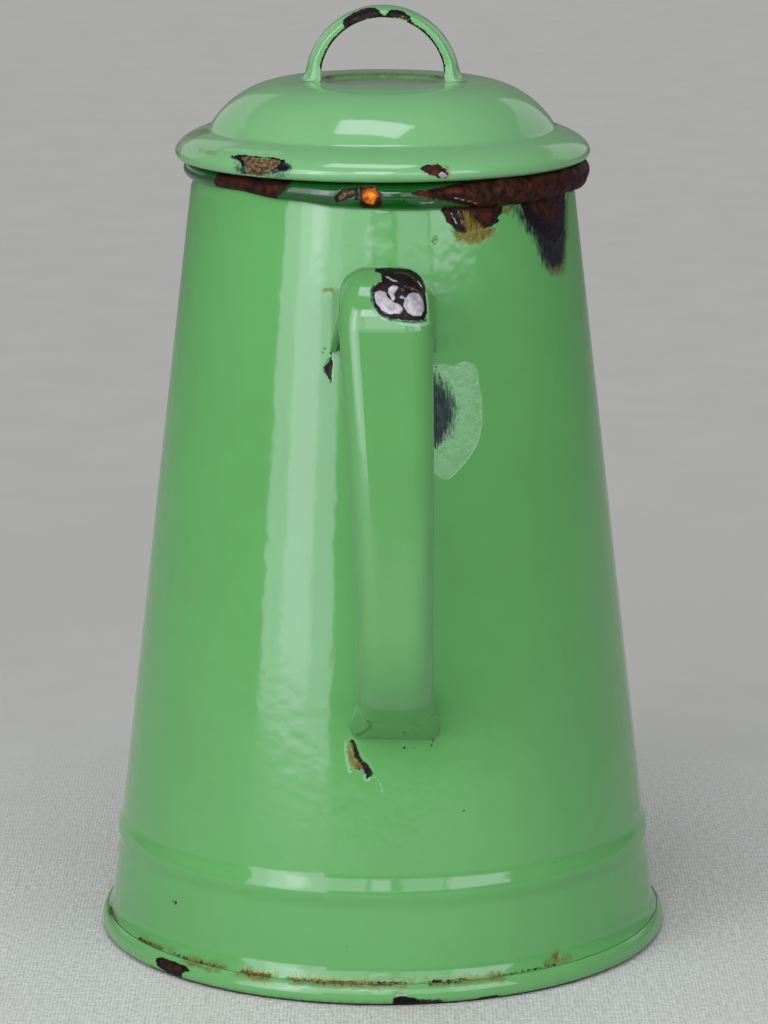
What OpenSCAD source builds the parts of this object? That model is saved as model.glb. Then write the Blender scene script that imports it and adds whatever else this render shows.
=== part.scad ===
// Tapered enamelled coffee pot: a strap handle, a gooseneck spout and a loose lid with a loop.
// The foot stands on z = 0 and the pot's axis is Z. The handle is on -Y and the spout on +Y.

/* [Sheet metal] */
// Thickness of the enamelled sheet that every pressing is made of
sheet = 1.2; // [0.9:0.1:1.4]
// Gap that enamel fills where the handle and spout are welded to the wall
weld_gap = 0.05; // [0.04:0.01:0.15]

/* [Body wall] */
// Outer radius that the wall's cone has at table level
wall_foot_r = 73; // [66:0.5:80]
// Outer radius of the wall at its top, under the rim bead
wall_top_r = 49.6; // [46:0.2:54]
// Height of the straight wall
wall_h = 198; // [192:1:215]
// Height of the middle of the pressed rib above the table
rib_z = 28; // [20:0.5:32]
// Width of the pressed rib, up and down the wall
rib_w = 9; // [6:0.5:12]
// How far the rib stands out of the wall
rib_h = 0.8; // [0.4:0.1:1.5]

/* [Rim bead] */
// Radius of the rolled bead's section
rim_r = 2.9; // [2.4:0.1:3.4]
// How far the middle of the bead lies inside the wall's outer face
rim_inset = 0.1; // [0:0.1:0.6]
// Height of the crease between the wall's top and the bead's underside
rim_crease = 1.2; // [1:0.1:2]

/* [Base pan] */
// Height of the base's underside over the table
base_lift = 4; // [3:0.5:8]
// Height of the folded seam, where the base pan grips the wall
seam_h = 5.5; // [4.5:0.5:8]
// How far the foot bead stands out past the wall's cone at table level
foot_flare = 2; // [1.6:0.1:3.5]
// Gap between the seam's lip and the wall
seam_gap = 0.05; // [0.03:0.01:0.15]
// Width of the ring that the pot stands on
foot_land = 2; // [1.8:0.1:2.4]
// Outer radius of the pan's fold at the ring's inner edge
foot_fold = 1.6; // [1.5:0.1:2]

/* [Handle strap] */
// Height of the outer face where the upper leg meets the wall
handle_top_z = 181; // [170:1:186]
// Height of the outer face where the lower leg meets the wall
handle_low_z = 67; // [55:1:80]
// Height of the virtual upper corner above the upper root
handle_rise = 12; // [9:0.5:16]
// Distance of the grip's outer face from the wall, square to the axis
handle_reach = 34.5; // [30:0.5:45]
// Extra distance of the grip from the wall at its upper corner, which stands it upright
grip_lean = 6; // [2:0.5:9]
// How far the middle of the grip bows outwards
grip_bow = 1.5; // [0.6:0.1:2.5]
// Height of the virtual lower corner above the lower root
handle_drop = 16; // [10:0.5:22]
// Radius of the upper bend, on the outer face
top_bend_r = 15; // [13:0.5:18]
// Radius of the lower bend, on the outer face
low_bend_r = 28; // [20:1:32]
// Thickness of the strap
strap_t = 1.8; // [1.4:0.1:2.4]
// Width of the strap at the start of the upper bend
strap_crest_w = 20.5; // [19:0.5:24]
// Width of the strap below the upper bend
strap_top_w = 22.5; // [20:0.5:26]
// Width of the strap at the lower bend
strap_low_w = 18.5; // [17:0.5:24]
// Width of the strap where its upper root is welded on
root_top_w = 26.5; // [24:0.5:30]
// Width of the strap where its lower root is welded on
root_low_w = 22.8; // [20:0.2:28]
// Depth of the strap's turned-in sides along the grip
grip_d = 8; // [6.5:0.5:9.5]
// Depth of the turned-in sides at the upper root
root_top_d = 17; // [11:0.5:20]
// Depth of the turned-in sides at the lower root
root_low_d = 11; // [9:0.5:14]
// Width of the strap's rounded shoulder
shoulder_w = 6.5; // [5:0.5:8]
// Depth of the strap's rounded shoulder
shoulder_d = 5; // [3.5:0.5:6]
// Width and depth of the shoulder at the lower root, where the strap is pressed flatter
root_shoulder = 3; // [2.5:0.5:4.5]
// Sideways place of the handle's upper root
handle_x = 0.5; // [-1:0.1:1]
// How far the handle bows to the side, from its upper root to its lower one
handle_drift = 2.7; // [0:0.1:4]

/* [Spout] */
// Height of the top of the spout's root on the wall
spout_root_top = 104; // [98:1:112]
// Height of the bottom of the spout's root on the wall
spout_root_low = 42; // [37:1:50]
// Width of the spout's root
spout_root_w = 45; // [40:1:52]
// Height of the pouring lip
lip_z = 208; // [202:1:212]
// Distance of the pouring lip from the pot's axis
lip_y = 122; // [114:1:130]
// Diameter of the mouth, front to back
mouth_d = 14.5; // [12:0.5:18]
// Width of the mouth, side to side
mouth_w = 15; // [12:0.5:18]
// How far the mouth's back edge is below its lip
mouth_slant = 3; // [0:0.5:6]

/* [Strainer] */
// Diameter of the strainer holes behind the spout
strain_d = 4; // [3:0.5:5]
// Distance between the middles of neighbouring strainer holes
strain_pitch = 8; // [7:0.5:10]
// Number of rows of strainer holes
strain_rows = 5; // [3:1:5]

/* [Lid] */
// Gap between the lid's lip and the rim bead that it rests on
lid_gap = 0.3; // [0.2:0.05:0.5]
// How far the brim reaches out past the rim bead
brim_over = 1.2; // [0.4:0.1:2]
// Width of the brim, from its edge to the foot of the dome
brim_w = 9; // [7:0.5:11]
// Height of the dome's foot above the lid's lip
brim_rise = 8.2; // [7:0.2:10]
// Radius of the brim's rolled edge
brim_edge_r = 2.1; // [1.8:0.1:2.4]
// Width of the flat lip under the brim
lip_w = 2.6; // [1.6:0.2:3.2]
// Height of the crown above the dome's foot
dome_h = 11.8; // [9:0.2:15]
// Radius of the flat crown
crown_r = 23.7; // [22.5:0.1:27]
// Radius of the round dish in the crown
dish_r = 17.3; // [16:0.1:18.5]
// Depth of the dish in the crown
dish_d = 1; // [0.5:0.1:1.1]
// Width of the dish's sloping edge
dish_edge = 3.2; // [3.2:0.2:5]

/* [Lid collar] */
// Gap between the collar and the rim bead's inner side
collar_gap = 0.6; // [0.3:0.1:1.2]
// Height of the collar below the lid's lip
collar_h = 12.5; // [8:0.5:18]
// Radius of the bend between the collar and its flange
collar_bend = 1.4; // [1.3:0.1:1.8]

/* [Lid loop] */
// Inner radius of the loop
loop_r = 16; // [14:0.5:17]
// Thickness of the loop at its top, in the middle of its rounded section
loop_t = 2.7; // [2.3:0.1:3.5]
// How much thicker the loop's legs are than its top
loop_swell = 1.3; // [0.5:0.1:1.6]
// Width of the loop
loop_w = 12; // [9:0.5:13]
// Height of the loop's centre above the crown
loop_rise = 0.4; // [0.4:0.1:3]
// How far each foot spreads past the loop's outer side
loop_foot = 1.4; // [1:0.1:2.4]
// Width of each foot at its end
loop_foot_w = 13.5; // [10:0.5:15]

/* [Hidden] */
$fn = 96;
enamel = [0.42, 0.66, 0.43];
lid_enamel = [0.48, 0.70, 0.51];
collar_enamel = [0.86, 0.88, 0.82];

taper = (wall_foot_r - wall_top_r) / wall_h;
rim_mid_r = wall_top_r - rim_inset;
rim_mid_z = wall_h + rim_crease + rim_r;
rim_hollow_r = rim_r - sheet;
rim_end_angle = -88;
foot_r = wall_foot_r + foot_flare;
seam_lip_r = wall_foot_r - taper * seam_h + seam_gap + sheet;
land_out_r = seam_lip_r - 0.3;
land_in_r = land_out_r - foot_land;
pan_leg_r = land_in_r - foot_fold;

lip_low_z = rim_mid_z + rim_r + lid_gap;
brim_r = rim_mid_r + rim_r + brim_over;
brim_edge_z = lip_low_z + brim_edge_r;
dome_foot = [brim_r - brim_w, lip_low_z + brim_rise];
crown_z = dome_foot[1] + dome_h;
collar_r = rim_mid_r - rim_r - collar_gap;
flange_r = brim_r - brim_edge_r;
strain_rise = 0.87;

// ---- Plain geometry -------------------------------------------------------------------------

function unit(v) = v / norm(v);
function left_of(v) = [-v[1], v[0]] / norm(v);
function ease(f) = (1 - cos(180 * min(1, max(0, f)))) / 2;
function mix(a, b, f) = a + (b - a) * f;
function arc(mid, r, from, to, steps) =
    [for (i = [0:steps]) let(a = mix(from, to, i / steps)) mid + r * [cos(a), sin(a)]];
function bezier(p, steps) =
    [for (i = [0:steps]) curve_at(p, i / steps)];
function curve_at(p, f) = len(p) == 1 ? p[0]
    : curve_at([for (i = [0:len(p) - 2]) mix(p[i], p[i + 1], f)], f);

// Direction in which a path's point moves when the path is offset to its left by one
function offset_way(path, i) =
    let(before = i > 0 ? path[i] - path[i - 1] : path[1] - path[0])
    let(after = i < len(path) - 1 ? path[i + 1] - path[i] : before)
    let(way = unit(left_of(before) + left_of(after)))
    way / (way * left_of(before));
// Outline of a sheet with one face on the path and the other offset from it
function strip(path, thickness) = concat(path,
    [for (i = [len(path) - 1:-1:0]) path[i] + thickness * offset_way(path, i)]);
// Ring of sheet metal, turned about the axis from the path of one face
module turned_sheet(path, thickness) rotate_extrude($fn = 128) polygon(strip(path, thickness));

// Arc that rounds the corner b of a path from a to c
function rounded(a, b, c, r, steps) =
    let(to_a = unit(a - b), to_c = unit(c - b), half = acos(to_a * to_c) / 2)
    let(mid = b + unit(to_a + to_c) * r / sin(half))
    let(start = b + to_a * r / tan(half) - mid, end = b + to_c * r / tan(half) - mid)
    let(a0 = atan2(start[1], start[0]), a1 = atan2(end[1], end[0]))
    arc(mid, r, a0, a0 + (a1 - a0 + 540) % 360 - 180, steps);

// Solid through a row of rings. Each ring is its outer points, then its inner points in reverse
module loft(rings, flip = false) {
    n = len(rings[0]);
    last = (len(rings) - 1) * n;
    sides = [for (j = [0:len(rings) - 2], i = [0:n - 1])
        let(a = j * n + i, b = j * n + (i + 1) % n)
        each [[a, b, b + n], [a, b + n, a + n]]];
    caps = [for (i = [0:n / 2 - 2])
        let(o = [i, i + 1, n - 2 - i, n - 1 - i])
        each [[o[0], o[2], o[1]], [o[0], o[3], o[2]],
              [last + o[0], last + o[1], last + o[2]], [last + o[0], last + o[2], last + o[3]]]];
    faces = concat(sides, caps);
    polyhedron([for (ring = rings) each ring],
        flip ? [for (f = faces) [f[2], f[1], f[0]]] : faces, convexity = 6);
}

// ---- Body wall ------------------------------------------------------------------------------

function wall_r(z) = wall_foot_r - taper * z;
function rib_at(z) = abs(z - rib_z) < rib_w / 2 ? rib_h * (1 + cos(360 * (z - rib_z) / rib_w)) / 2 : 0;

// Outer face of the wall, up over the rib and round the inside of the rolled bead
function wall_path() =
    let(rib_low = rib_z - rib_w / 2, steps = 12)
    let(bead_mid = [rim_mid_r, rim_mid_z], top = [wall_top_r, wall_h])
    let(away = top - bead_mid)
    let(touch = atan2(away[1], away[0]) + 360 - acos(rim_hollow_r / norm(away)))
    concat([[wall_r(0), 0]],
        [for (i = [0:steps]) let(z = rib_low + rib_w * i / steps) [wall_r(z) + rib_at(z), z]],
        [top],
        arc(bead_mid, rim_hollow_r, touch, rim_end_angle, 26));

// Staggered rows of strainer holes, inside the spout's root
module strainer_holes() {
    root_mid = (spout_root_top + spout_root_low) / 2;
    row_h = strain_pitch * strain_rise;
    for (row = [0:strain_rows - 1]) {
        count = row % 2 == 0 ? 3 : 2;
        for (i = [0:count - 1]) {
            x = (i - (count - 1) / 2) * strain_pitch;
            z = root_mid + (row - (strain_rows - 1) / 2) * row_h;
            translate([x, 0, z]) rotate([-90, 0, 0]) cylinder(d = strain_d, h = wall_foot_r, $fn = 24);
        }
    }
}

module body_wall() {
    color(enamel) difference() {
        turned_sheet(wall_path(), sheet);
        // The foot is cut level, to stand on the floor of the pan's channel
        translate([0, 0, -sheet]) cylinder(r = foot_r, h = 2 * sheet, $fn = 128);
        strainer_holes();
    }
}

// ---- Base pan -------------------------------------------------------------------------------

// Underside of the pan, from the seam's lip round the foot bead and in to the axis
function pan_path() =
    let(lip = [seam_lip_r, seam_h], bulge = [2 * foot_r - seam_lip_r - 0.2, seam_h / 2])
    let(land_out = [land_out_r, 0], floor_z = base_lift)
    concat(bezier([lip, bulge, [foot_r - 0.2, 0], land_out], 10),
        arc([land_in_r, foot_fold], foot_fold, 270, 180, 4),
        arc([pan_leg_r - 1, floor_z - 1], 1, 0, 90, 4),
        [[0, floor_z]]);

module base_pan() {
    color(enamel) turned_sheet(pan_path(), -sheet);
}

// ---- Spout ----------------------------------------------------------------------------------

spout_steps = 30;
spout_points = 14;
// How far along the spout its rings still follow the wall's round
spout_settle = 0.3;

// Distance from the axis plane to the wall's face, at a height and a sideways place
function wall_y(x, z) = sqrt(pow(wall_r(z) + weld_gap, 2) - x * x);

// Back edge of the spout in side view, nearest the pot
function spout_back(f) = curve_at([
    [wall_r(spout_root_top), spout_root_top],
    [wall_r(spout_root_top) + 17, spout_root_top + 12],
    [lip_y - mouth_d - 21, lip_z - 48],
    [lip_y - mouth_d, lip_z - mouth_slant]], f);
// Front edge of the spout in side view, ending at the pouring lip
function spout_front(f) = curve_at([
    [wall_r(spout_root_low), spout_root_low],
    [wall_r(spout_root_low) + 41, spout_root_low + 18],
    [lip_y - 26, lip_z - 66],
    [lip_y, lip_z]], f);
function spout_w(f) = mouth_w + (spout_root_w - mouth_w) * pow(1 - f, 1.6);

function spout_point(side, f, a, inset) =
    let(back = spout_back(f), front = spout_front(f))
    let(mid = (back + front) / 2, half = (back - front) / 2)
    let(on_plane = mid + half * cos(a) * (1 - inset / norm(half)))
    let(x = (spout_w(f) / 2 - inset) * sin(a))
    let(hug = pow(max(0, 1 - f / spout_settle), 2))
    [side * x, mix(on_plane[0], wall_y(x, on_plane[1]), hug), on_plane[1]];

// One pressed half of the spout; the halves meet on the plane x = 0
module spout_half(side) {
    loft([for (j = [0:spout_steps]) let(f = j / spout_steps)
        concat([for (i = [0:spout_points]) spout_point(side, f, 180 * i / spout_points, 0)],
            [for (i = [spout_points:-1:0]) spout_point(side, f, 180 * i / spout_points, sheet)])],
        side > 0);
}

module spout_left_half() {
    color(enamel) spout_half(-1);
}

module spout_right_half() {
    color(enamel) spout_half(1);
}

// ---- Handle strap ---------------------------------------------------------------------------

// Corners of the outer face in side view, as distance from the axis and height
handle_a = [wall_r(handle_top_z), handle_top_z];
handle_b = [wall_r(handle_top_z + handle_rise) + handle_reach + grip_lean, handle_top_z + handle_rise];
handle_c = [wall_r(handle_low_z + handle_drop) + handle_reach, handle_low_z + handle_drop];
handle_d = [wall_r(handle_low_z), handle_low_z];
grip_way = unit(handle_c - handle_b);
handle_mid = (handle_b + handle_c) / 2 + [-grip_way[1], grip_way[0]] * grip_bow;
top_bend = rounded(handle_a, handle_b, handle_mid, top_bend_r, 14);
low_bend = rounded(handle_mid, handle_c, handle_d, low_bend_r, 12);
// The bow is an arc that takes up most of the grip between the two bends
grip_top_way = unit(handle_mid - handle_b);
grip_low_way = unit(handle_c - handle_mid);
bow_share = 0.96;
bow_reach = bow_share * min(norm(handle_mid - top_bend[len(top_bend) - 1]), norm(handle_mid - low_bend[0]));
bow_r = bow_reach / tan(acos(grip_top_way * grip_low_way) / 2);
grip_arc = rounded(handle_b, handle_mid, handle_c, bow_r, 6);
root_steps = 6;

// A section of the strap: its width, its depth, its width over the turned-in edges and its shoulder
grip_shoulder = [shoulder_w, shoulder_d];
low_shoulder = [root_shoulder, root_shoulder];
root_top = [root_top_w, root_top_d, root_top_w, grip_shoulder];
crest = [strap_crest_w, grip_d + 2, strap_crest_w, grip_shoulder];
grip_top = [strap_top_w, grip_d, strap_top_w, grip_shoulder];
grip_low = [strap_low_w, grip_d, strap_low_w, grip_shoulder];
root_low = [root_low_w, root_low_d, strap_low_w, low_shoulder];

// Half outline of a section from its turned-in edge to near the middle, inset by a thickness
function strap_half(form, inset) =
    let(half = form[0] / 2, size = form[3], flat = half - size[0])
    concat([[form[2] / 2 - inset, form[1]]],
        [for (a = [0:18:90]) [flat + (size[0] - inset) * cos(a), size[1] - (size[1] - inset) * sin(a)]],
        [for (share = [2 / 3, 1 / 3]) [flat * share, inset]]);
function strap_side(form, inset) = let(half = strap_half(form, inset))
    concat([for (p = half) [-p[0], p[1]]], [[0, inset]], [for (i = [len(half) - 1:-1:0]) half[i]]);
function strap_section(form) = let(outer = strap_side(form, 0), inner = strap_side(form, strap_t))
    concat(outer, [for (i = [len(inner) - 1:-1:0]) inner[i]]);

// Sideways place of the strap's middle. It bows most below the upper root
function handle_side(z) = let(rest = (z - handle_low_z) / (handle_top_z - handle_low_z))
    handle_x + handle_drift * (1 - rest * rest);
// Section set square to the strap at a point of its outer face, running the given way
function strap_ring(at, way, form) =
    [for (p = strap_section(form))
        let(u = at[0] + way[1] * p[1], z = at[1] - way[0] * p[1])
        [handle_side(at[1]) + p[0], -u, z]];
// Travel from a point to the wall's face along a direction that leads away from the axis
function to_wall(p, way) =
    let(gap_r = wall_r(p[2]) + weld_gap)
    let(qa = way[0] * way[0] + way[1] * way[1] - pow(taper * way[2], 2))
    let(qb = p[0] * way[0] + p[1] * way[1] + gap_r * taper * way[2])
    let(qc = p[0] * p[0] + p[1] * p[1] - gap_r * gap_r)
    (sqrt(qb * qb - qa * qc) - qb) / qa;
// Section carried from a bend's end towards the wall, all the way where the share is one
function root_ring(at, out, run, form, share) =
    let(way = [0, -out[0], out[1]])
    [for (p = strap_ring(at, run, form)) p + way * to_wall(p, way) * share];

module handle_strap() {
    top_out = unit(handle_b - handle_a);
    low_in = unit(handle_d - handle_c);
    top_rings = [for (j = [root_steps:-1:1]) let(f = j / root_steps)
        root_ring(top_bend[0], top_out, top_out, mix(crest, root_top, ease(f)), f)];
    bend_rings = [for (i = [0:len(top_bend) - 1]) let(f = i / (len(top_bend) - 1))
        strap_ring(top_bend[i], handle_way(top_out, grip_top_way, f), mix(crest, grip_top, ease(f)))];
    grip_rings = [for (i = [0:len(grip_arc) - 1]) let(f = i / (len(grip_arc) - 1))
        strap_ring(grip_arc[i], handle_way(grip_top_way, grip_low_way, f), mix(grip_top, grip_low, f))];
    low_rings = [for (i = [0:len(low_bend) - 1]) let(f = i / (len(low_bend) - 1))
        strap_ring(low_bend[i], handle_way(grip_low_way, low_in, f), grip_low)];
    end_rings = [for (j = [1:root_steps]) let(f = j / root_steps)
        root_ring(low_bend[len(low_bend) - 1], -low_in, low_in, mix(grip_low, root_low, ease(f)), f)];
    color(enamel) loft(concat(top_rings, bend_rings, grip_rings, low_rings, end_rings));
}
// Direction of the strap part way round a bend
function handle_way(from, to, f) =
    let(a0 = atan2(from[1], from[0]), turn = (atan2(to[1], to[0]) - a0 + 540) % 360 - 180)
    [cos(a0 + turn * f), sin(a0 + turn * f)];

// ---- Lid ------------------------------------------------------------------------------------

// Upper face of the lid, from the axis out over the dome and brim and in along the lip
function lid_path() =
    let(run = dome_foot[0] - crown_r, shoulder_r = (run * run + dome_h * dome_h) / (2 * dome_h))
    let(turn = asin(run / shoulder_r), edge = [brim_r, brim_edge_z])
    let(dish_z = crown_z - dish_d, dish_steps = 6)
    concat([[0, dish_z]],
        [for (i = [0:dish_steps]) let(f = i / dish_steps)
            [dish_r - dish_edge * (1 - f), dish_z + dish_d * ease(f)]],
        arc([crown_r, crown_z - shoulder_r], shoulder_r, 90, 90 - turn, 18),
        bezier_tail([dome_foot + [0.5, -0.35], [brim_r - 0.7, dome_foot[1] - 2.7], edge], 10),
        arc([brim_r - brim_edge_r, brim_edge_z], brim_edge_r, 0, -90, 8),
        [[brim_r - brim_edge_r - lip_w, lip_low_z]]);
function bezier_tail(p, steps) = [for (i = [0:steps - 1]) curve_at(p, i / steps)];

module lid_dome() {
    color(lid_enamel) turned_sheet(lid_path(), -sheet);
}

// Outer face of the collar, up from its free edge and out along the flange that the lip holds
function collar_path() =
    concat([[collar_r - 0.5, lip_low_z - collar_h], [collar_r, lip_low_z - collar_h + 2]],
        arc([collar_r + collar_bend, lip_low_z + sheet - collar_bend], collar_bend, 180, 90, 5),
        [[flange_r, lip_low_z + sheet]]);

module lid_collar() {
    color(collar_enamel) turned_sheet(collar_path(), sheet);
}

// ---- Lid loop -------------------------------------------------------------------------------

loop_points = 10;
// Share of the loop's thickness that is left at its edges
loop_edge = 0.45;

// Inner and outer point of each ring in front view, from the loop's top down to the foot's end
function loop_pairs() =
    let(steps = 12, last = 14, r_out = loop_r + loop_t + loop_swell)
    let(mid_in = [0, loop_rise], mid_out = [0, loop_rise - loop_swell])
    let(tip = [r_out + loop_foot, 0.35], heel = [loop_r, 0])
    let(side_in = loop_r * [cos(last), sin(last)] + mid_in)
    let(side_out = r_out * [cos(last), sin(last)] + mid_out)
    concat([for (i = [0:steps]) let(a = mix(90, last, i / steps))
            [loop_r * [cos(a), sin(a)] + mid_in, r_out * [cos(a), sin(a)] + mid_out]],
        [for (i = [1:7]) let(f = i / 7)
            [f < 0.45 ? mix(side_in, heel, f / 0.45) : mix(heel, tip - [0.6, tip[1]], (f - 0.45) / 0.55),
             curve_at([side_out, [r_out + 0.1, 0.5], tip], f)]]);

function loop_ring(pair, side, w) =
    let(inner = pair[0], outer = pair[1])
    concat([for (i = [0:loop_points]) let(a = 180 * i / loop_points)
            let(p = mix(inner, outer, mix(loop_edge, 1, sin(a))))
            [side * p[0], w / 2 * cos(a), crown_z + p[1]]],
        [for (i = [loop_points:-1:0]) let(a = 180 * i / loop_points)
            [side * inner[0], w / 2 * cos(a), crown_z + inner[1]]]);

module lid_loop() {
    pairs = loop_pairs();
    n = len(pairs);
    function width_at(i) = mix(loop_w, loop_foot_w, ease((i - 10) / (n - 11)));
    left = [for (i = [n - 1:-1:0]) loop_ring(pairs[i], -1, width_at(i))];
    right = [for (i = [1:n - 1]) loop_ring(pairs[i], 1, width_at(i))];
    color(lid_enamel) loft(concat(left, right), true);
}

body_wall();
base_pan();
spout_left_half();
spout_right_half();
handle_strap();
lid_dome();
lid_collar();
lid_loop();
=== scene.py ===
# %% [markdown]
# # An enamelled coffee pot with a lift-off lid
# The pot is sheet steel, pressed and rolled, then dipped in green glass enamel and fired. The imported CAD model
# gives the frame: every piece below is made in the same place, and rides on the CAD body that carries it.

# %% Load the frame
import math

import bmesh
import bpy
import numpy as np
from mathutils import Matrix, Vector, noise


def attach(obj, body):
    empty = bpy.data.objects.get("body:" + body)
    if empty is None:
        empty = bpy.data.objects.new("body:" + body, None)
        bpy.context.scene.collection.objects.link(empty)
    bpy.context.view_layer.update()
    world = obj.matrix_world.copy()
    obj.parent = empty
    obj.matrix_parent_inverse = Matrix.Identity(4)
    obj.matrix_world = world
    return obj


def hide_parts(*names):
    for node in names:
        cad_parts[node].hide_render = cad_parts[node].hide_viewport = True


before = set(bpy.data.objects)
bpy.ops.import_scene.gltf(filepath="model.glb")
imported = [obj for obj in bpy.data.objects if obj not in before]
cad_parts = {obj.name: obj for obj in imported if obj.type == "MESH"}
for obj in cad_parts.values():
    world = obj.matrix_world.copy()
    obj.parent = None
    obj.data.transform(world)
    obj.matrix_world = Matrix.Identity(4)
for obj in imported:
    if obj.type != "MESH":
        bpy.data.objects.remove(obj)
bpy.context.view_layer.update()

MM = 0.001

# %% [markdown]
# ## The camera
# A long lens from about a metre away keeps the cone's two sides nearly straight, with little of the swelling that
# a short lens gives. The camera stands a little above the lid and looks down by twelve degrees.

# %% Camera
CAMERA_AWAY = 1.071
CAMERA_HIGH = 0.3403
CAMERA_SIDE = 0.00036
LOOK_DOWN = math.radians(12.07)
LENS_MM = 146.2

camera_data = bpy.data.cameras.new("camera")
camera_data.lens = LENS_MM
camera = bpy.data.objects.new("camera", camera_data)
camera.location = (CAMERA_SIDE, -CAMERA_AWAY, CAMERA_HIGH)
camera.rotation_euler = (math.pi / 2 - LOOK_DOWN, 0, 0)
bpy.context.collection.objects.link(camera)
bpy.context.scene.camera = camera
bpy.context.scene.view_settings.view_transform = "Standard"
print("camera", LENS_MM, "mm lens,", CAMERA_AWAY, "m in front of the axis")

# %% [markdown]
# ## The light
# Glossy enamel shows its lamps, so their shape matters as much as their strength. A tall pane stands in front to the
# left, as a window would, with brighter parts inside it. Three high panes end above the table, so the wall shows
# them only near its top. Two lamps above the front light the shoulders and the cloth. Small panes give the glints on
# the handle's bend and on the rib near the foot, two weak ones light the back, and the world adds an even fill.

# %% Lamps
def pane(name, azimuth, height, away, width, tall, brightness, target_z=None):
    """A rectangular lamp at an azimuth round the pot, facing the axis at its own height or another.

    Brightness is its radiance.
    """
    data = bpy.data.lights.new(name, "AREA")
    data.shape = "RECTANGLE"
    data.size, data.size_y = width, tall
    data.energy = brightness * math.pi * width * tall
    lamp = bpy.data.objects.new(name, data)
    turn = math.radians(azimuth)
    lamp.location = (away * math.sin(turn), -away * math.cos(turn), height)
    aim = Vector((0, 0, height if target_z is None else target_z)) - lamp.location
    lamp.rotation_euler = aim.to_track_quat("-Z", "Y").to_euler()
    lamp.visible_camera = False
    bpy.context.collection.objects.link(lamp)


pane("left window", -40.5, 0.625, 1.25, 0.78, 1.24, 2.8)
pane("bright part of the left window", -41, 0.56, 1.2, 0.3, 1.04, 1.6)
pane("brightest part of the left window", -36, 0.64, 1.15, 0.2, 0.76, 1.8)
pane("high window, left of the middle", -15, 0.66, 1.25, 0.36, 0.8, 2.1)
pane("high window, right of the middle", 17, 0.66, 1.25, 0.42, 0.8, 1.9)
pane("high window on the right", 41, 0.67, 1.25, 0.58, 0.8, 3.1)
pane("upper front light", -5, 0.9, 1.0, 0.42, 0.26, 6.5, target_z=0.19)
pane("top light", -20, 1.35, 0.25, 0.62, 0.42, 4.4, target_z=0.1)
pane("glint on the handle's bend", -1, 0.59, 1.2, 0.17, 0.52, 3.2)
pane("back light, left", -145, 0.7, 1.4, 1.0, 0.8, 0.4)
pane("back light, right", 140, 0.7, 1.4, 1.0, 0.8, 0.5)
pane("low glint", -2, 0.266, 1.2, 0.3, 0.036, 3.2)
world = bpy.data.worlds.new("studio")
world.use_nodes = True
fill = world.node_tree.nodes["Background"]
fill.inputs["Color"].default_value = (0.80, 0.81, 0.82, 1)
fill.inputs["Strength"].default_value = 0.25
bpy.context.scene.world = world

# %% [markdown]
# ## Small tools for node materials
# Blender builds a material from nodes. Short helpers make the code read like the node editor: one adds a node and
# sets its sockets, a few give the result of common nodes, and one starts a reusable group with named sockets.

# %% Node helpers
def add(tree, kind, settings=None, **inputs):
    """Adds a node. Settings are its own properties; inputs are values or sockets, by name or by number as _0."""
    node = tree.nodes.new("ShaderNode" + kind)
    for name, value in (settings or {}).items():
        setattr(node, name, value)
    for name, value in inputs.items():
        socket = node.inputs[int(name[1:])] if name[0] == "_" else node.inputs[name.replace("__", " ")]
        if isinstance(value, bpy.types.NodeSocket):
            tree.links.new(value, socket)
        else:
            socket.default_value = value
    return node


def calc(tree, operation, *values):
    """The result of a Math node on up to three values or sockets."""
    return add(tree, "Math", {"operation": operation}, **{f"_{i}": v for i, v in enumerate(values)}).outputs[0]


def times(tree, first, second):
    """Two values multiplied."""
    return calc(tree, "MULTIPLY", first, second)


def mix_colour(tree, share, first, second):
    """A colour between two others."""
    return add(tree, "Mix", {"data_type": "RGBA"}, _0=share, _6=first, _7=second).outputs[2]


def ramp(tree, value, low, high, to_low=0.0, to_high=1.0):
    """Smooth step of a value from low to high."""
    return add(tree, "MapRange", {"interpolation_type": "SMOOTHSTEP"}, Value=value, From__Min=low,
               From__Max=high, To__Min=to_low, To__Max=to_high).outputs[0]


def new_group(name, inputs, outputs):
    """A shader node group with named sockets. Inputs are (kind, name, value); outputs are (kind, name)."""
    group = bpy.data.node_groups.new(name, "ShaderNodeTree")
    for kind, label, value in inputs:
        group.interface.new_socket(label, in_out="INPUT", socket_type="NodeSocket" + kind).default_value = value
    for kind, label in outputs:
        group.interface.new_socket(label, in_out="OUTPUT", socket_type="NodeSocket" + kind)
    return group, group.nodes.new("NodeGroupInput").outputs, group.nodes.new("NodeGroupOutput").inputs


def rgb(red, green, blue):
    """A colour from screen values of 0 to 255, as the linear values that Blender uses."""
    return (*[(v / 255 / 12.92 if v <= 10 else ((v / 255 + 0.055) / 1.055) ** 2.4) for v in (red, green, blue)], 1)


# %% [markdown]
# ## The glaze group
# Fired enamel isn't flat. Its colour clouds a little where the coat is thick or thin, its face has the faint
# ripple called orange peel, and here and there a pinhole shows the dark ground coat. All the enamels share this,
# so it is one node group, and its height output is in millimetres.

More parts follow.
